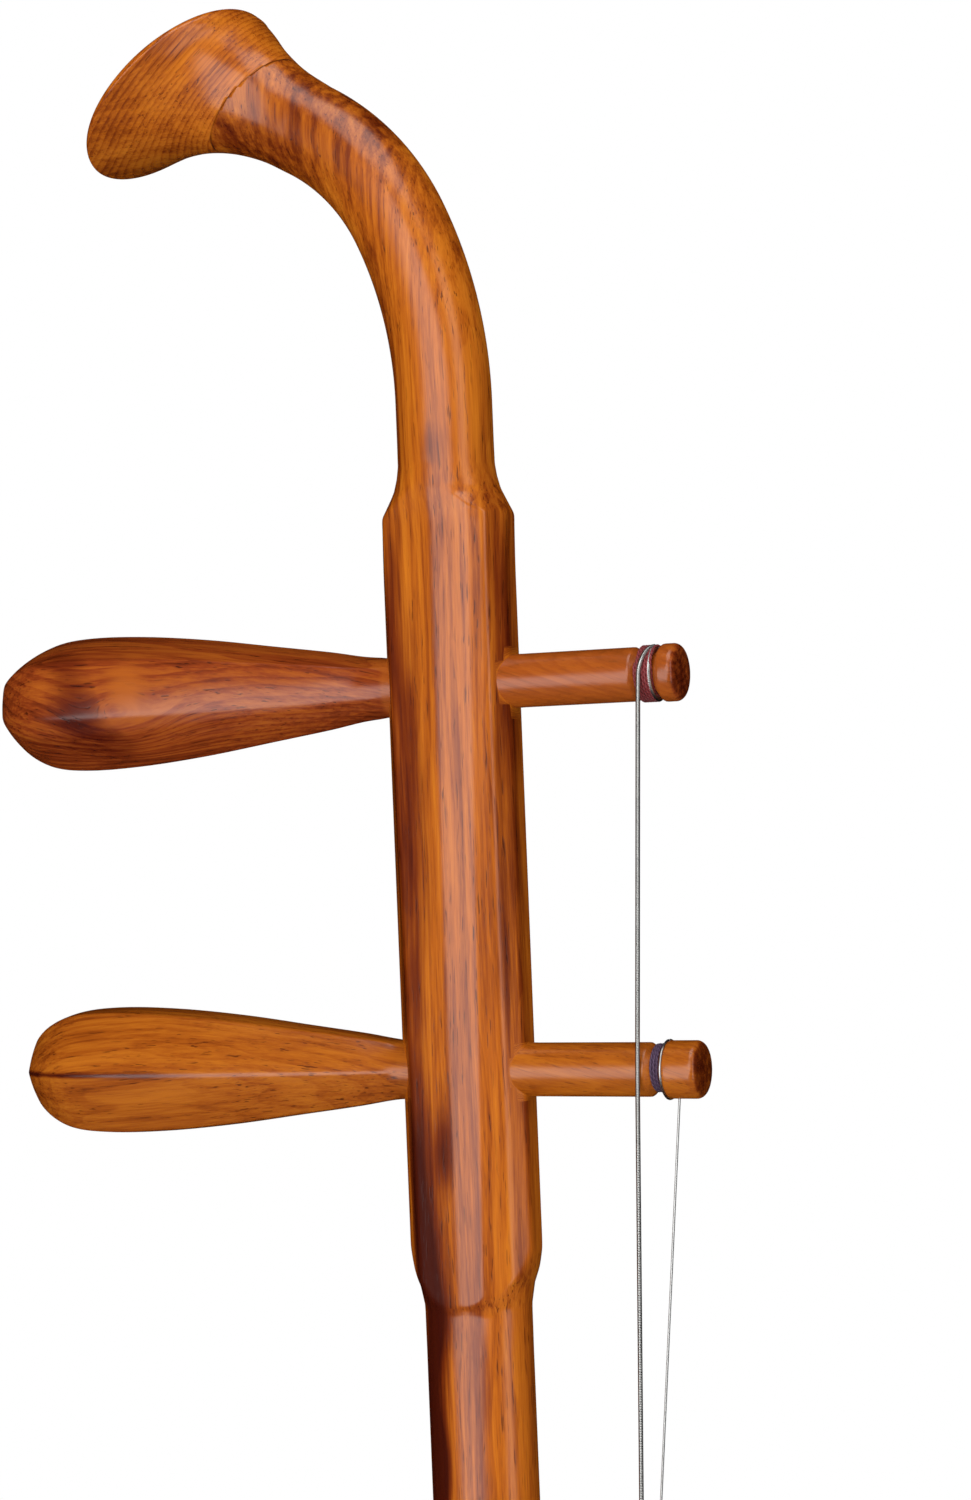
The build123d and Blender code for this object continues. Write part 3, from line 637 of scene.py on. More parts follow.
def peg_mesh(which, material, bevel, knot, ridge_line, peg_lean):
    """Peg as one turned and planed piece, with the wood's figure as attributes.

    A knot is its place along the peg, its height and its size; ridge_line darkens the near
    ridge, and peg_lean is the slope of the fibres in degrees.
    """
    peg = PEGS[which]
    shift = peg["shift"]
    angle = np.linspace(0, 2 * np.pi, PEG_COLUMNS, endpoint=False)
    rows = smooth_rows([(d, r) for d, r in HANDLE], 7)
    end_d, end_r = HANDLE[0]
    stations = [(shift - end_d - 0.5 + 0.5 * (r / end_r) ** 2, r, 1.0)
                for r in np.linspace(0.3, end_r, 7)[:-1]]
    stations += [(shift - d, r, 1.0) for d, r in rows]
    stations = [(x, r, w) for x, r, w in stations if x < HANDLE_START]
    groove_start, groove_end = peg["groove"]
    tip = peg["tip"]

    def cone(x):
        return np.interp(x, (MOUTH_X, FRONT_X), (MOUTH_R, SHAFT_R))
    turned = [(x, cone(x)) for x in np.linspace(-13.5, FRONT_X, 12)]
    turned += [(x, SHAFT_R) for x in np.linspace(FRONT_X + 1, groove_start - 1.4, 10)]
    turned += [(groove_start + dx, r) for dx, r in (
        (-1.0, SHAFT_R - 0.03), (-0.7, SHAFT_R - 0.22), (0.2, GROOVE_R + 0.12), (0.5, GROOVE_R))]
    turned += [(groove_end + dx, r) for dx, r in (
        (-0.5, GROOVE_R), (-0.2, GROOVE_R + 0.12), (0.75, BUTTON_R - 0.22),
        (1.05, BUTTON_R - 0.04), (1.4, BUTTON_R))]
    turned += [(x, BUTTON_R) for x in np.linspace(groove_end + 2.0, tip - TIP_ROUND_R, 6)]
    turned += [(tip - TIP_ROUND_R * (1 - math.sin(t)), BUTTON_R - TIP_ROUND_R * (1 - math.cos(t)))
               for t in np.linspace(0.15, 1.5, 8)]
    turned += [(tip + 0.25 - 0.012 * r * r, r)
               for r in np.linspace(BUTTON_R - TIP_ROUND_R - 0.3, 0.4, 6)]
    points = []
    grain = []
    shade = []
    lean = math.tan(math.radians(peg_lean))
    for x, r, weight in stations + [(x, r, 0.0) for x, r in turned]:
        if weight:
            out = hexagon_radius(angle, r, peg["twist"], bevel * min(1.0, r / 14.0))
            blend = step(-x, 13.4, 17.0)
            out = blend * out + (1 - blend) * np.minimum(out, cone(x))
            out = np.maximum(out, cone(x)) if x > -24 else out
        else:
            out = np.full(PEG_COLUMNS, r)
        y = -out * np.cos(angle)
        z = out * np.sin(angle)
        points.append(np.stack([np.full(PEG_COLUMNS, x), y, peg["z"] + z], 1))
        flow_z = z + lean * (x + 50.0) + 0.0016 * (x + 50.0) ** 2
        shadow = np.zeros(PEG_COLUMNS)
        if knot:
            from_x = x - knot[0]
            from_z = z - knot[1]
            around = np.sqrt(0.5 * from_x ** 2 + 1.3 * from_z ** 2)
            near_side = step(np.cos(angle), -0.2, 0.5)
            pull = near_side * np.exp(-(around / knot[2]) ** 2)
            flow_z = flow_z * (1 - pull) + (knot[1] + 0.8 * around) * pull
            shadow = near_side * (0.62 * spot(from_x + 0.4 * from_z, from_z, (-9.5, 3.0), (6.0, 9.0))
                                  + 0.40 * spot(from_x, from_z, (-12.0, -6.0), (14.0, 6.0))
                                  - 1.00 * spot(from_x, from_z, (2.0, 4.0), (4.5, 6.0)))
        if not weight:
            shadow = shadow - (0.55 if which == "upper" else 0.3)
        if ridge_line:
            ridge_angle = math.radians(peg["twist"] - 30)
            gap = np.abs(((angle - ridge_angle + math.pi) % (2 * math.pi)) - math.pi) * r
            reach = step(-x, 30.0, 95.0) if weight else 0.0
            shadow = shadow + 1.2 * reach * np.exp(-(gap / 0.55) ** 2)
        end_dark = step(-x, 92.0, 108.0) * 0.12 + step(x, tip - 0.9, tip - 0.1) * 0.95
        grain.append(np.stack([np.full(PEG_COLUMNS, x), y, flow_z], 1))
        shade.append(shadow + end_dark)
    attributes = {"grain": np.concatenate(grain), "shade": np.concatenate(shade)}
    obj = ring_object(which + "_peg_wood", points, which + "_peg", material, attributes,
                      inward=True)
    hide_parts(which + "_peg")


peg_mesh("upper", upper_peg_material, 0.055, (-73.0, -2.0, 9.0), False, 7.0)
peg_mesh("lower", lower_peg_material, 0.0, None, True, 1.0)


# ---- silk, strings and cords ---------------------------------------------------------------
def thread(name, colour, rough=0.55, ply=1.1, lustre=0.35):
    """Twisted thread or cord; the grain attribute is length along it and place in its section."""
    n = Nodes(name)
    along, across, depth = n.split(n.attribute("grain"))[:3]
    turn = n.math("ARCTAN2", depth, across)
    strand = n.math("SINE", n.muladd(along, math.tau / ply, n.times(turn, 2.0)))
    fuzz = n.noise(n.place(), scale=5.0, detail=3.0)
    # painted shade and light: the colour follows the twist of the plies, darker in the grooves between them
    # and lighter on their crests, with random fuzz on top
    light = n.muladd(strand, 0.22, n.muladd(fuzz, 0.9, 0.10))
    colour = n.ramp(light, ((0.0, tinted(colour, 0.45)), (0.55, colour),
                            (1.0, tuple(min(1.0, c * 1.5 + 0.03) for c in colour))))
    height = n.muladd(fuzz, 0.6, strand)
    return n.finish(base_color=colour, roughness=rough, sheen_weight=lustre, sheen_roughness=0.4,
                    normal=n.bump(height, 0.6, 0.12))


COIL_PITCH = 0.34          # of the fine wire round the inner string


def wire(name, colour, wound):
    """Steel wire, plain or wound with a finer wire."""
    n = Nodes(name)
    along = n.split(n.attribute("grain"))[0]
    tarnish = n.noise(n.place(), scale=0.35, detail=3.0)
    coil = n.math("SINE", n.times(along, math.tau / COIL_PITCH))
    # patches of tarnish, and on wound wire painted shade: darker in the grooves between the turns of the
    # finer wire
    shade = n.muladd(tarnish, 0.5, n.times(coil, 0.12 if wound else 0.0))
    colour = n.ramp(shade, ((0.0, tinted(colour, 0.72)), (0.6, colour)))
    return n.finish(base_color=colour, metallic=1.0, roughness=n.muladd(tarnish, 0.2, 0.24),
                    normal=n.bump(coil, 0.5 if wound else 0.0, 0.05))


crimson_silk = thread("crimson_silk", (0.20, 0.015, 0.018), lustre=0.08)
violet_silk = thread("violet_silk", (0.065, 0.030, 0.075), lustre=0.08)
nut_cord = thread("nut_cord", (0.74, 0.66, 0.48), rough=0.7, ply=1.9, lustre=0.15)
wound_steel = wire("wound_steel", (0.62, 0.62, 0.60), True)
plain_steel = wire("plain_steel", (0.72, 0.72, 0.71), False)

SILK_THREAD_R = 0.30
SILK_LIFT = {"upper": 0.0, "lower": 0.35}      # the lower winding is bunched to one side
SILK = {"upper": (5.8, crimson_silk, "crimson_silk"), "lower": (4.95, violet_silk, "violet_silk")}


def peg_helix(which, start_x, end_x, radius, turns, start_angle=0.0, per_turn=48, lift=0.0):
    """Points of a winding round a peg's axis, or round a line lifted above it."""
    angles = np.linspace(0, 2 * np.pi * turns, int(per_turn * turns) + 1)
    x = np.linspace(start_x, end_x, len(angles))
    angles = angles + start_angle
    z = PEGS[which]["z"] + lift + radius * np.sin(angles)
    return np.stack([x, -radius * np.cos(angles), z], 1)


def silk_winding(which):
    """Layers of silk thread, to and fro, that fill the peg's string groove."""
    outer_r, material, slot = SILK[which]
    start, end = PEGS[which]["groove"]
    layers = []
    r = GROOVE_R + SILK_THREAD_R
    inset = 0.45
    depth = outer_r - GROOVE_R
    gaps = max(1, round(depth / (2 * SILK_THREAD_R)) - 1)
    while r + SILK_THREAD_R < outer_r + 0.02:
        layers.append(r)
        r += (depth - 2 * SILK_THREAD_R) / gaps
    path = []
    for k, r in enumerate(layers):
        x = (start + inset, end - inset)
        if k % 2:
            x = x[::-1]
        turns = round((end - start - 2 * inset) / (1.9 * SILK_THREAD_R))
        path.append(peg_helix(which, x[0], x[1], r, turns, 0.4 * k, 40, SILK_LIFT[which]))
    obj = tube(which + "_silk_thread", np.concatenate(path), SILK_THREAD_R, which + "_peg",
               material, sides=8)
    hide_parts(which + "_peg_silk")


for which in PEGS:
    silk_winding(which)

INNER_R = 0.48
OUTER_R = 0.25
INNER_SEAT = 5.6
OUTER_SEAT = 5.65
INNER_X = 43.2
OUTER_X = 44.3
INNER_TOP_X = 44.9         # the inner string comes over the top of its peg here
BEDDED_R = 5.42            # the last turn of the inner string is pressed into the silk
NUT = (33.4, 1.75, 467.0)
BRIDGE_TOP_X = 37.1
BRIDGE_Z = 57.0
STRING_BRIDGE_Y = 2.0
HITCH_BAR = (34.6, 16.6)
HITCH_BAR_R = 1.2
STRING_HITCH_Y = 3.4
TURN_GAP = 0.15
INNER_TURN_X = 45.0        # the inner string's last turn, sunk a little into the silk
INNER_TURN_R = 5.26

inner_path = peg_helix("upper", INNER_TURN_X, INNER_TURN_X, INNER_TURN_R, 1.0, 1.6, 72)
inner_ring = tube("inner_steel_turn", inner_path,
                  INNER_R, "upper_peg", wound_steel, sides=14)
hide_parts("inner_string_turn")
outer_turn_r = OUTER_SEAT + OUTER_R
outer_ring = tube("outer_steel_turn", peg_helix("lower", OUTER_X, OUTER_X, outer_turn_r, 1.0, 1.6, 72),
                  OUTER_R, "lower_peg", plain_steel, sides=10)
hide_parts("outer_string_turn")


def eased(points, spacing=3.0, soften=3):
    """Closely spaced points along straight runs, with the corners eased."""
    points = np.asarray(points, float)
    out = []
    for a, b in zip(points[:-1], points[1:]):
        count = max(2, int(np.linalg.norm(b - a) / spacing))
        out += [a + (b - a) * t for t in np.linspace(0, 1, count, endpoint=False)]
    out.append(points[-1])
    out = np.array(out)
    for _ in range(soften):
        out[1:-1] = (out[:-2] + 2 * out[1:-1] + out[2:]) / 4
    return out


def hitch_loop(side, string_r):
    """Points of the lower end of a string: round the bar, up again and wound round itself."""
    y = side * STRING_HITCH_Y
    r = HITCH_BAR_R + 0.05 + string_r
    bar_x, bar_z = HITCH_BAR
    angles = np.linspace(0, -1.5 * np.pi, 24)
    loop = [(bar_x + r * math.cos(a), y + side * 0.012 * i, bar_z + r * math.sin(a))
            for i, a in enumerate(angles)]
    turns = []
    for k in range(40):
        a = 2 * math.pi * k / 10
        z = bar_z + 3.2 + k * 0.22 * string_r
        reach = 2.05 * string_r
        turns.append((bar_x + r + reach * math.cos(a + 3.0), y + reach * math.sin(a + 3.0), z))
    return loop + turns


def string(name, node, side, string_r, top, material):
    nut = (NUT[0], side * NUT[1], NUT[2])
    crown = (BRIDGE_TOP_X + string_r, side * STRING_BRIDGE_Y, BRIDGE_Z)
    foot = (HITCH_BAR[0] + HITCH_BAR_R + 0.05 + string_r, side * STRING_HITCH_Y, HITCH_BAR[1])
    path = np.concatenate([eased(list(top) + [nut, crown, foot]), hitch_loop(side, string_r)])
    obj = tube(name, path, string_r, "body", material, sides=12)
    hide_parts(node)


seat = INNER_SEAT + INNER_R + TURN_GAP
over = []
for part in np.linspace(0, 1, 14):
    a = 1.5 * (1 - part)
    reach = BEDDED_R + (seat - BEDDED_R) * step(part, 0.0, 0.9)
    x = INNER_TOP_X - (INNER_TOP_X - INNER_X) * part
    over.append((x, -reach * math.cos(a), PEGS["upper"]["z"] + reach * math.sin(a)))
past = (39.7, -(SHAFT_R + INNER_R + 2 * TURN_GAP), PEGS["lower"]["z"])
string("inner_string_wire", "inner_string", -1, INNER_R, over + [past], wound_steel)
leave = (OUTER_X, OUTER_SEAT + OUTER_R + TURN_GAP, PEGS["lower"]["z"] - 1.0)
string("outer_string_wire", "outer_string", 1, OUTER_R, [leave], plain_steel)

NUT_CORD_R = 0.7
NUT_TURNS = 9


def nut_winding():
    """Cord wound round the neck, each turn against the last."""
    angles = np.linspace(0, 2 * np.pi * NUT_TURNS, 64 * NUT_TURNS)
    low = NUT[2] - (NUT_TURNS - 1) * NUT_CORD_R
    z = low + np.linspace(-0.5, NUT_TURNS - 0.5, len(angles)) * 2 * NUT_CORD_R
    x = (NECK_A + NUT_CORD_R) * np.cos(angles)
    y = (NECK_B + NUT_CORD_R) * np.sin(angles)
    z = np.clip(z, low - 0.4, low + 2 * NUT_CORD_R * (NUT_TURNS - 1) + 0.4)
    obj = tube("nut_winding_cord", np.stack([x, y, z], 1), NUT_CORD_R, "body", nut_cord,
               sides=10)
    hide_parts("qianjin_winding")


def around(outlines):
    """Convex outline round some points in the plane, as evenly spaced points."""
    points = sorted(set((round(x, 4), round(y, 4)) for x, y in outlines))

    def half(ordered):
        chain = []
        for p in ordered:
            while len(chain) > 1:
                (ax, ay), (bx, by) = chain[-2:]
                if (bx - ax) * (p[1] - ay) - (by - ay) * (p[0] - ax) > 0:
                    break
                chain.pop()
            chain.append(p)
        return chain[:-1]
    hull = np.array(half(points) + half(points[::-1]))
    hull = np.vstack([hull, hull[:1]])
    run = np.concatenate([[0], np.cumsum(np.linalg.norm(np.diff(hull, axis=0), axis=1))])
    even = np.linspace(0, run[-1], 121)[:-1]
    return np.stack([np.interp(even, run, hull[:, 0]), np.interp(even, run, hull[:, 1])], 1)


def nut_loop():
    """Three turns of cord from the winding round both strings."""
    angles = np.linspace(0, 2 * np.pi, 90, endpoint=False)
    slack = 1.4 + 0.55
    neck_ring = [((NECK_A + slack) * math.cos(a), (NECK_B + slack) * math.sin(a)) for a in angles]
    tip_r = 2.55 + 0.55
    tip_ring = [(NUT[0] - 0.75 + tip_r * math.cos(a), tip_r * math.sin(a)) for a in angles]
    outline = around(neck_ring + tip_ring)
    outline = np.roll(outline, -int(np.argmin(outline[:, 0])), axis=0)
    turns = 3
    path = []
    for k in range(turns * len(outline)):
        x, y = outline[k % len(outline)]
        z = NUT[2] + 1.32 * (k / len(outline) - turns / 2)
        path.append((x, y, z))
    loop = tube("nut_loop_cord", path, 0.62, "body", nut_cord, sides=10)
    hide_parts("qianjin_loop")


nut_winding()
nut_loop()


# ---- pieces that keep their CAD shape, with softened edges ---------------------------------
def softened(node, name, material, width, segments=3, angle=28.0):
    """Copy of a CAD node's mesh with its edges rounded a little."""
    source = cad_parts[node]
    bm = bmesh.new()
    bm.from_mesh(source.data)
    bmesh.ops.remove_doubles(bm, verts=bm.verts, dist=2e-6)
    bmesh.ops.dissolve_limit(bm, angle_limit=math.radians(0.6), verts=bm.verts, edges=bm.edges)
    bmesh.ops.recalc_face_normals(bm, faces=bm.faces)
    mesh = bpy.data.meshes.new(name)
    bm.to_mesh(mesh)
    bm.free()
    mesh.shade_smooth()
    obj = link(name, mesh)
    mesh.materials.clear()
    mesh.materials.append(material)
    if width:
        bevel = obj.modifiers.new("soft_edges", "BEVEL")
        bevel.width = width * MM
        bevel.segments = segments
        bevel.limit_method = "ANGLE"
        bevel.angle_limit = math.radians(angle)
        bevel.miter_outer = "MITER_ARC"
    weighted = obj.modifiers.new("weighted_normals", "WEIGHTED_NORMAL")
    weighted.keep_sharp = True
    weighted.weight = 90
    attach(obj, "body")
    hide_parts(node)


def metal(name, colour, rough):
    """Turned or filed metal with fine tool marks and a little tarnish."""
    n = Nodes(name)
    place = n.place()
    marks = n.noise(n.scaled(place, (0.4, 6.0, 6.0)), detail=3.0, rough=0.6)
    tarnish = n.noise(place, scale=0.25, detail=4.0)
    colour = n.mix(n.band(tarnish, 0.45, 0.75), colour, tinted(colour, 0.55))
    return n.finish(base_color=colour, metallic=1.0, normal=n.bump(marks, 0.25, 0.05),
                    roughness=n.muladd(marks, 0.25, rough - 0.1))


def leather(name, colour):
    """Leather with a net of fine creases."""
    n = Nodes(name)
    place = n.place()
    cells = n.add("ShaderNodeTexVoronoi", {"Vector": place, "Scale": 0.9}, feature="DISTANCE_TO_EDGE")
    creases = n.band(cells.outputs["Distance"], 0.0, 0.22)
    mottle = n.noise(place, scale=0.12, detail=4.0)
    colour = n.mix(mottle, tinted(colour, 0.6), tinted(colour, 1.7))
    return n.finish(base_color=colour, roughness=n.muladd(creases, -0.12, 0.68),
                    normal=n.bump(creases, 0.5, 0.15))


def ribbon(name, colour):
    """Woven ribbon: warp and weft cross over and under."""
    n = Nodes(name)
    place = n.split(n.place())
    warp = n.math("SINE", n.times(place[0], math.tau / 0.55))
    round_box = n.math("ARCTAN2", place[1], n.minus(place[2], BOX_Z))
    weft = n.math("SINE", n.times(round_box, SKIN_APOTHEM * math.tau / 0.6))
    cloth = n.times(warp, weft)
    wear = n.noise(n.place(), scale=0.15, detail=4.0)
    # painted highlight: the threads that lie on top in the weave are made lighter, with random wear on top
    colour = n.mix(n.band(n.muladd(cloth, 0.3, wear), 0.3, 0.9), colour,
                   tuple(min(1.0, c * 3.2 + 0.01) for c in colour))
    return n.finish(base_color=colour, roughness=0.78, sheen_weight=0.3, normal=n.bump(cloth, 0.5, 0.12))


def felt_cloth(name, colour):
    """Pressed wool with short hairs."""
    n = Nodes(name)
    place = n.place()
    hairs = n.noise(n.scaled(place, (2.2, 0.9, 2.2)), detail=5.0, rough=0.75)
    clumps = n.noise(place, scale=0.45, detail=3.0)
    colour = n.mix(n.muladd(clumps, 0.5, n.times(hairs, 0.6)),
                   tinted(colour, 0.45), tinted(colour, 1.4))
    return n.finish(base_color=colour, roughness=0.95, sheen_weight=0.8, normal=n.bump(hairs, 0.8, 0.3))


board_material = wood("board_rosewood", BOARD_ROSE, patches=False, fibres=(0, 1, 2), pith=(10.0, 150.0))
dark_wood = wood("dark_wood", DARK_ROSE, patches=False, fibres=(0, 1, 2), pith=(30.0, -80.0))
rim_wood = wood("rim_wood", DARK_ROSE, patches=False, fibres=(1, 2, 0), pith=(-90.0, -160.0))
maple = wood("bridge_maple", MAPLE, ring=0.9, patches=False, fibres=(1, 0, 2), rough=0.42, pith=(12.0, 20.0))
brass = metal("brass", (0.72, 0.50, 0.20), 0.34)
steel = metal("steel", (0.58, 0.58, 0.57), 0.30)

for side in ("top", "upper_far", "lower_far", "bottom", "lower_near", "upper_near"):
    board = side + "_board"
    softened(board, board + "_wood", board_material, 0.45)
softened("rear_rim", "rear_rim_wood", rim_wood, 0.5)
softened("sound_window", "carved_window", rim_wood, 0.45, segments=2)
softened("base", "base_wood", dark_wood, 0.4)
softened("base_pad", "pad_leather", leather("pad_leather", (0.075, 0.045, 0.030)), 0.5)
softened("base_screw", "base_screw_steel", steel, 0.12, segments=2)
softened("bridge", "bridge_wood", maple, 0.3)
softened("skin_band", "woven_band", ribbon("woven_ribbon", (0.030, 0.022, 0.018)), 0.35)
softened("string_hitch", "hitch_bracket", brass, 0.2)
softened("hitch_bar", "hitch_pin_steel", steel, 0.12, segments=2)
softened("hitch_screws", "hitch_screws_brass", brass, 0.1, segments=2)


# ---- snakeskin -----------------------------------------------------------------------------
SKIN_REAR = 17.0
SKIN_FRONT = 29.3
SKIN_THICK = 0.8
SKIN_EDGE_R = 1.8
SKIN_CORNER_POWER = 70.0   # larger is a sharper corner of the hexagon
SCALE_WIDE = 3.5
SCALE_LONG = 4.6
SCALE_RELIEF = 0.16


def scale_height(u, v):
    """Relief of a lapped scale from 0 in the groove to 1 on its crown."""
    fu = u - np.floor(u)
    fv = v - np.floor(v)
    crown = np.clip(np.sin(np.pi * fu), 0, 1) * np.clip(np.sin(np.pi * fv), 0, 1)
    return crown ** 0.45 * (0.75 + 0.25 * (fu + fv) / 2)


def skin_material():
    """Python skin: dark-edged blotches that keep to whole scales."""
    n = Nodes("python_skin")
    u, v = n.split(n.attribute("scales"))[:2]
    cell_u = n.math("FLOOR", u)
    cell_v = n.math("FLOOR", v)
    centre = n.joined(n.minus(cell_u, cell_v), n.math("ADD", cell_u, cell_v), 0.0)
    patch = n.noise(n.scaled(centre, (0.075, 0.060, 1.0)), detail=1.5, rough=0.4)
    single = n.noise(n.scaled(centre, (0.9, 0.9, 1.0)), detail=1.0)
    tone = n.muladd(single, 0.16, patch)
    tan = (0.34, 0.23, 0.09)
    stops = ((0.0, (0.50, 0.40, 0.20)), (0.30, tan), (0.40, (0.028, 0.018, 0.010)),
             (0.52, (0.13, 0.070, 0.025)), (0.9, tan))
    colour = n.ramp(n.band(tone, 0.36, 0.78), stops)
    edge_u = n.math("ABSOLUTE", n.minus(n.math("FRACT", u), 0.5))
    edge_v = n.math("ABSOLUTE", n.minus(n.math("FRACT", v), 0.5))
    edge = n.math("MAXIMUM", edge_u, edge_v)
    colour = n.mix(n.times(n.band(edge, 0.36, 0.49), 0.65), colour, (0.10, 0.065, 0.030))
    grainy = n.noise(n.place(), scale=1.6, detail=3.0)
    colour = n.mix(n.times(grainy, 0.35), colour, (0.16, 0.10, 0.045))
    height = n.muladd(grainy, 0.3, n.minus(1.0, n.band(edge, 0.30, 0.5)))
    return n.finish(base_color=colour, roughness=n.muladd(grainy, 0.2, 0.30),
                    normal=n.bump(height, 0.5, 0.12))


def skin_mesh():
    """Taut skin with real scale relief, its skirt and the thickness behind it."""
    columns = 420
    angle = np.linspace(0, 2 * np.pi, columns, endpoint=False)
    flats = [(60 * k, SKIN_APOTHEM) for k in range(6)]
    outline = facet_sum(angle, flats, SKIN_CORNER_POWER) ** (-1 / SKIN_CORNER_POWER)
    edge = SKIN_EDGE_R / SKIN_APOTHEM
    rows = []
    for part in np.linspace(0.01, 1.0, 62)[:-1]:
        rows.append((outline * part * (1 - edge), SKIN_FRONT, 0.0, 1.0))
    for t in np.linspace(0, np.pi / 2, 7):
        reach = outline * (1 - edge + edge * math.sin(t))
        x = SKIN_FRONT - SKIN_EDGE_R * (1 - math.cos(t))
        rows.append((reach, x, SKIN_EDGE_R * t, 1.0 - math.sin(t)))
    for x in np.linspace(SKIN_FRONT - SKIN_EDGE_R, SKIN_REAR, 18)[1:]:
        rows.append((outline, x, SKIN_EDGE_R * 0.57 + SKIN_FRONT - x, 0.0))
    points = []
    scales = []
    for reach, x, down, facing in rows:
        flat = np.stack([reach * np.sin(angle), reach * np.cos(angle)], 1)
        radial = np.stack([np.sin(angle), np.cos(angle)], 1)
        spread = flat + radial * down
        u = spread[:, 0] / SCALE_WIDE + spread[:, 1] / SCALE_LONG
        v = spread[:, 0] / SCALE_WIDE - spread[:, 1] / SCALE_LONG
        relief = SCALE_RELIEF * (scale_height(u, v) - 1.0)
        out = flat + radial * (relief * (1 - facing))[:, None]
        points.append(np.stack([x + relief * facing, out[:, 0], BOX_Z + out[:, 1]], 1))
        scales.append(np.stack([u, v, np.zeros(columns)], 1))
    inside = outline * (1 - SKIN_THICK / SKIN_APOTHEM)
    back = SKIN_FRONT - SKIN_THICK
    for reach, x in ((inside, SKIN_REAR), (inside, back), (inside * 0.01, back)):
        z = BOX_Z + reach * np.cos(angle)
        points.append(np.stack([np.full(columns, x), reach * np.sin(angle), z], 1))
        scales.append(np.zeros((columns, 3)))
    obj = ring_object("stretched_skin", points, "body", skin_material(),
                      {"scales": np.concatenate(scales)})
    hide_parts("snakeskin")


skin_mesh()


# ---- felt damper ---------------------------------------------------------------------------
def felt_roll():
    """Soft roll of felt under the strings, flat against the skin, with rounded ends."""
    low, high = (np.array(corner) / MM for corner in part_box("damper_felt"))
    middle = (low + high) / 2
    half = (high - low) / 2
    columns = 56
    angle = np.linspace(0, 2 * np.pi, columns, endpoint=False)
    points = []
    for part in np.linspace(-1, 1, 60):
        swell = (1 - abs(part) ** 9) ** 0.5 if abs(part) < 1 else 0.0
        swell = max(swell, 0.08) * (1 - 0.05 * math.cos(part * 5.0))
        cosine = np.cos(angle)
        sine = np.sin(angle)
        x = np.sign(cosine) * np.abs(cosine) ** np.where(cosine < 0, 0.45, 0.8)
        z = np.sign(sine) * np.abs(sine) ** 0.75
        fuzz = 0.985 + 0.015 * np.sin(9 * angle + 17 * part) * np.cos(31 * part + 3 * angle)
        ring_x = np.where(x < 0, x, x * swell) * half[0] * 0.985
        points.append(np.stack([middle[0] + ring_x * fuzz, np.full(columns, middle[1] + part * half[1]),
                                middle[2] + z * swell * half[2] * 0.98 * fuzz], 1))
    obj = ring_object("felt_roll", points, "body", felt_cloth("red_felt", (0.36, 0.03, 0.03)))
    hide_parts("damper_felt")


felt_roll()


# ---- camera --------------------------------------------------------------------------------
CAMERA_PLACE = (0.26579, -0.58223, 0.662)
CAMERA_AZIMUTH = 24.0
CAMERA_ROLL = -2.3
camera_data = bpy.data.cameras.new("camera")
camera_data.lens = 74.34
camera_data.sensor_width = 36.0
camera_data.shift_x = -0.00104
camera_data.shift_y = 0.0258
camera = link("camera", camera_data)
turn = Matrix.Rotation(math.radians(CAMERA_AZIMUTH), 4, "Z")
level = Matrix.Rotation(math.radians(90.0), 4, "X")
roll = Matrix.Rotation(math.radians(CAMERA_ROLL), 4, "Z")
camera.matrix_world = Matrix.Translation(CAMERA_PLACE) @ turn @ level @ roll
bpy.context.scene.camera = camera


# ---- light, floor --------------------------------------------------------------------------
LIGHT_TARGET = Vector((0.0, 0.0, 0.66))


def panel(name, azimuth, elevation, distance, width, height, radiance, roll=0.0, glossy=True):
    """Soft rectangular light that faces the top of the object."""
    data = bpy.data.lights.new(name, "AREA")
    data.shape = "RECTANGLE"
    data.size = width
    data.size_y = height
    data.energy = radiance * math.pi * width * height
    light = link(name, data)
    az = math.radians(azimuth)
    el = math.radians(elevation)
    away = Vector((math.sin(az) * math.cos(el), -math.cos(az) * math.cos(el), math.sin(el)))
    light.location = LIGHT_TARGET + away * distance
    facing = away.to_track_quat("Z", "Y").to_matrix() @ Matrix.Rotation(math.radians(roll), 3, "Z")
    light.rotation_euler = facing.to_euler()
    light.visible_glossy = glossy
    light.visible_camera = False


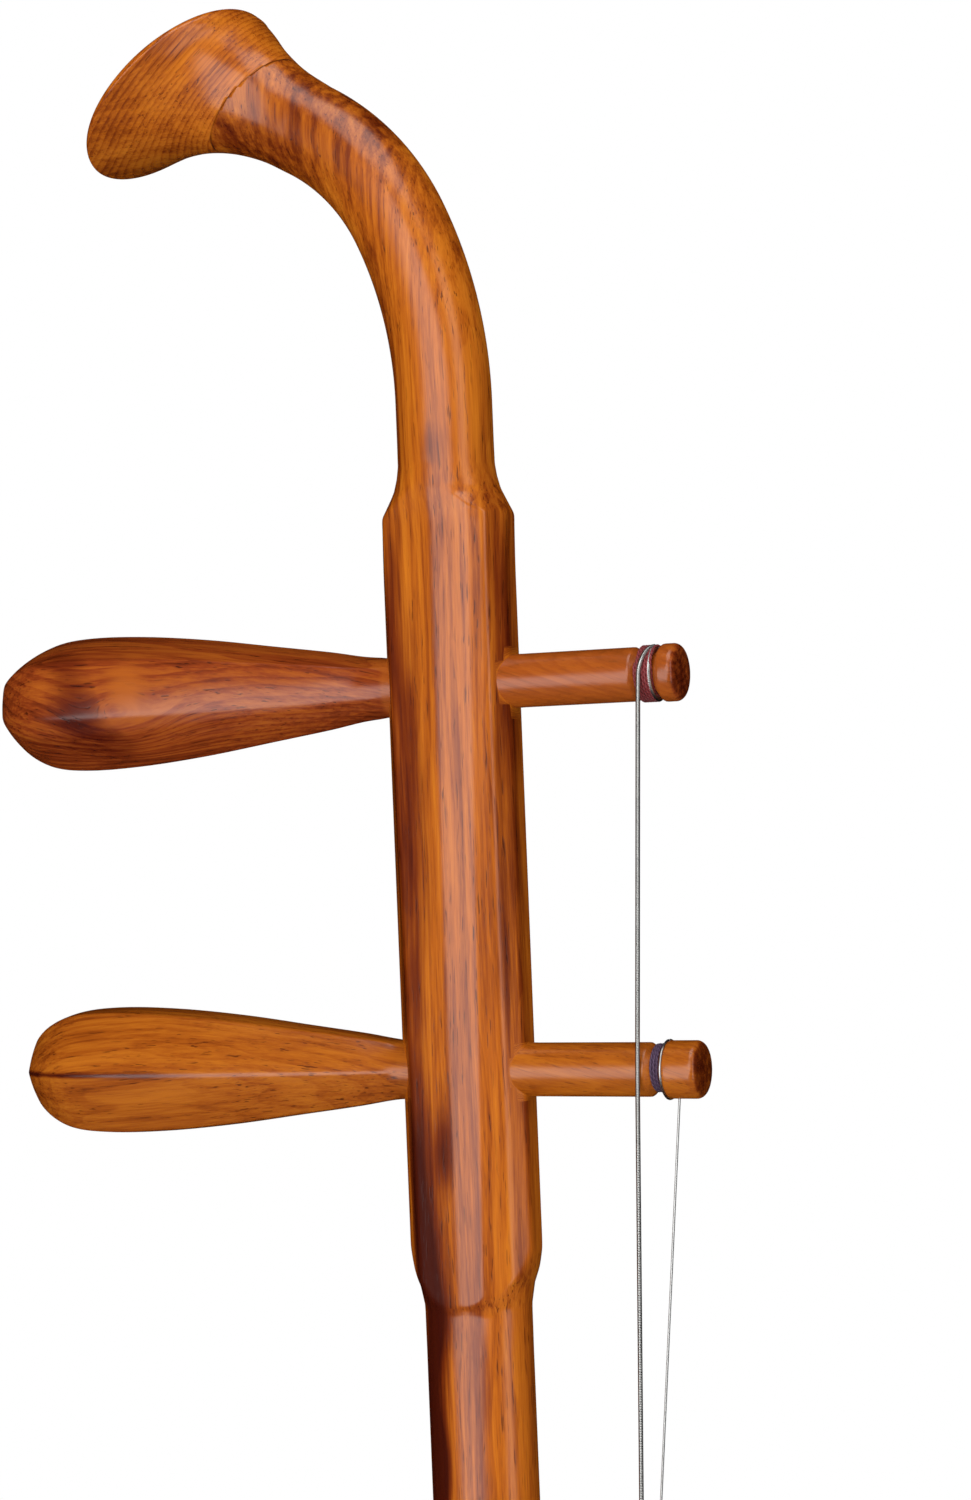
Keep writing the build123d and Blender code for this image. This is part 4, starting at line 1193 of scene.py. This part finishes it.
panel("key_panel", -1.0, 1.0, 1.2, 0.94, 1.8, 2.9, roll=-48.0)
panel("side_panel", 66.0, 4.0, 1.2, 0.42, 1.5, 1.7)
panel("top_panel", 30.0, 66.0, 1.0, 0.7, 0.7, 2.6)
panel("high_fill", 45.0, 62.0, 1.5, 1.2, 1.2, 0.6, glossy=False)

FLOOR_R = 2200.0


def pale_floor():
    """Round pale floor that fades into the white of the studio towards its edge."""
    n = Nodes("pale_floor")
    place = n.place()
    speck = n.noise(place, scale=0.004, detail=3.0)
    n.finish(base_color=n.mix(speck, (0.80, 0.80, 0.79), (0.84, 0.84, 0.835)), roughness=0.75)
    distance = n.add("ShaderNodeVectorMath", {0: place}, operation="LENGTH").outputs["Value"]
    white = n.add("ShaderNodeEmission", {"Color": (1.0, 1.0, 1.0, 1.0), "Strength": 1.0})
    seen_direct = n.add("ShaderNodeLightPath").outputs["Is Camera Ray"]
    share = n.times(seen_direct, n.band(distance, 0.1 * FLOOR_R, 0.75 * FLOOR_R))
    fade = n.add("ShaderNodeMixShader", {0: share})
    n.tree.links.new(n.shader.outputs[0], fade.inputs[1])
    n.tree.links.new(white.outputs[0], fade.inputs[2])
    n.tree.links.new(fade.outputs[0], n.tree.nodes["Material Output"].inputs["Surface"])
    rim = [(FLOOR_R * math.cos(t), FLOOR_R * math.sin(t), 0.0)
           for t in np.linspace(0, 2 * math.pi, 96, endpoint=False)]
    disc = mesh_object("floor", rim, [tuple(range(len(rim)))], None, n.material, smooth=False)
    disc.visible_glossy = False


pale_floor()

# a white room to look at, which lights the object only a little
world = bpy.data.worlds.new("studio")
bpy.context.scene.world = world
world.use_nodes = True
room = world.node_tree
mixer = room.nodes.new("ShaderNodeMixShader")
path = room.nodes.new("ShaderNodeLightPath")
room.links.new(path.outputs["Is Camera Ray"], mixer.inputs[0])
for socket, strength in ((1, 0.24), (2, 1.0)):
    background = room.nodes.new("ShaderNodeBackground")
    background.inputs["Color"].default_value = (1.0, 1.0, 1.0, 1.0)
    background.inputs["Strength"].default_value = strength
    room.links.new(background.outputs[0], mixer.inputs[socket])
room.links.new(mixer.outputs[0], room.nodes["World Output"].inputs["Surface"])
world.cycles_visibility.glossy = False
bpy.context.scene.view_settings.view_transform = "Standard"
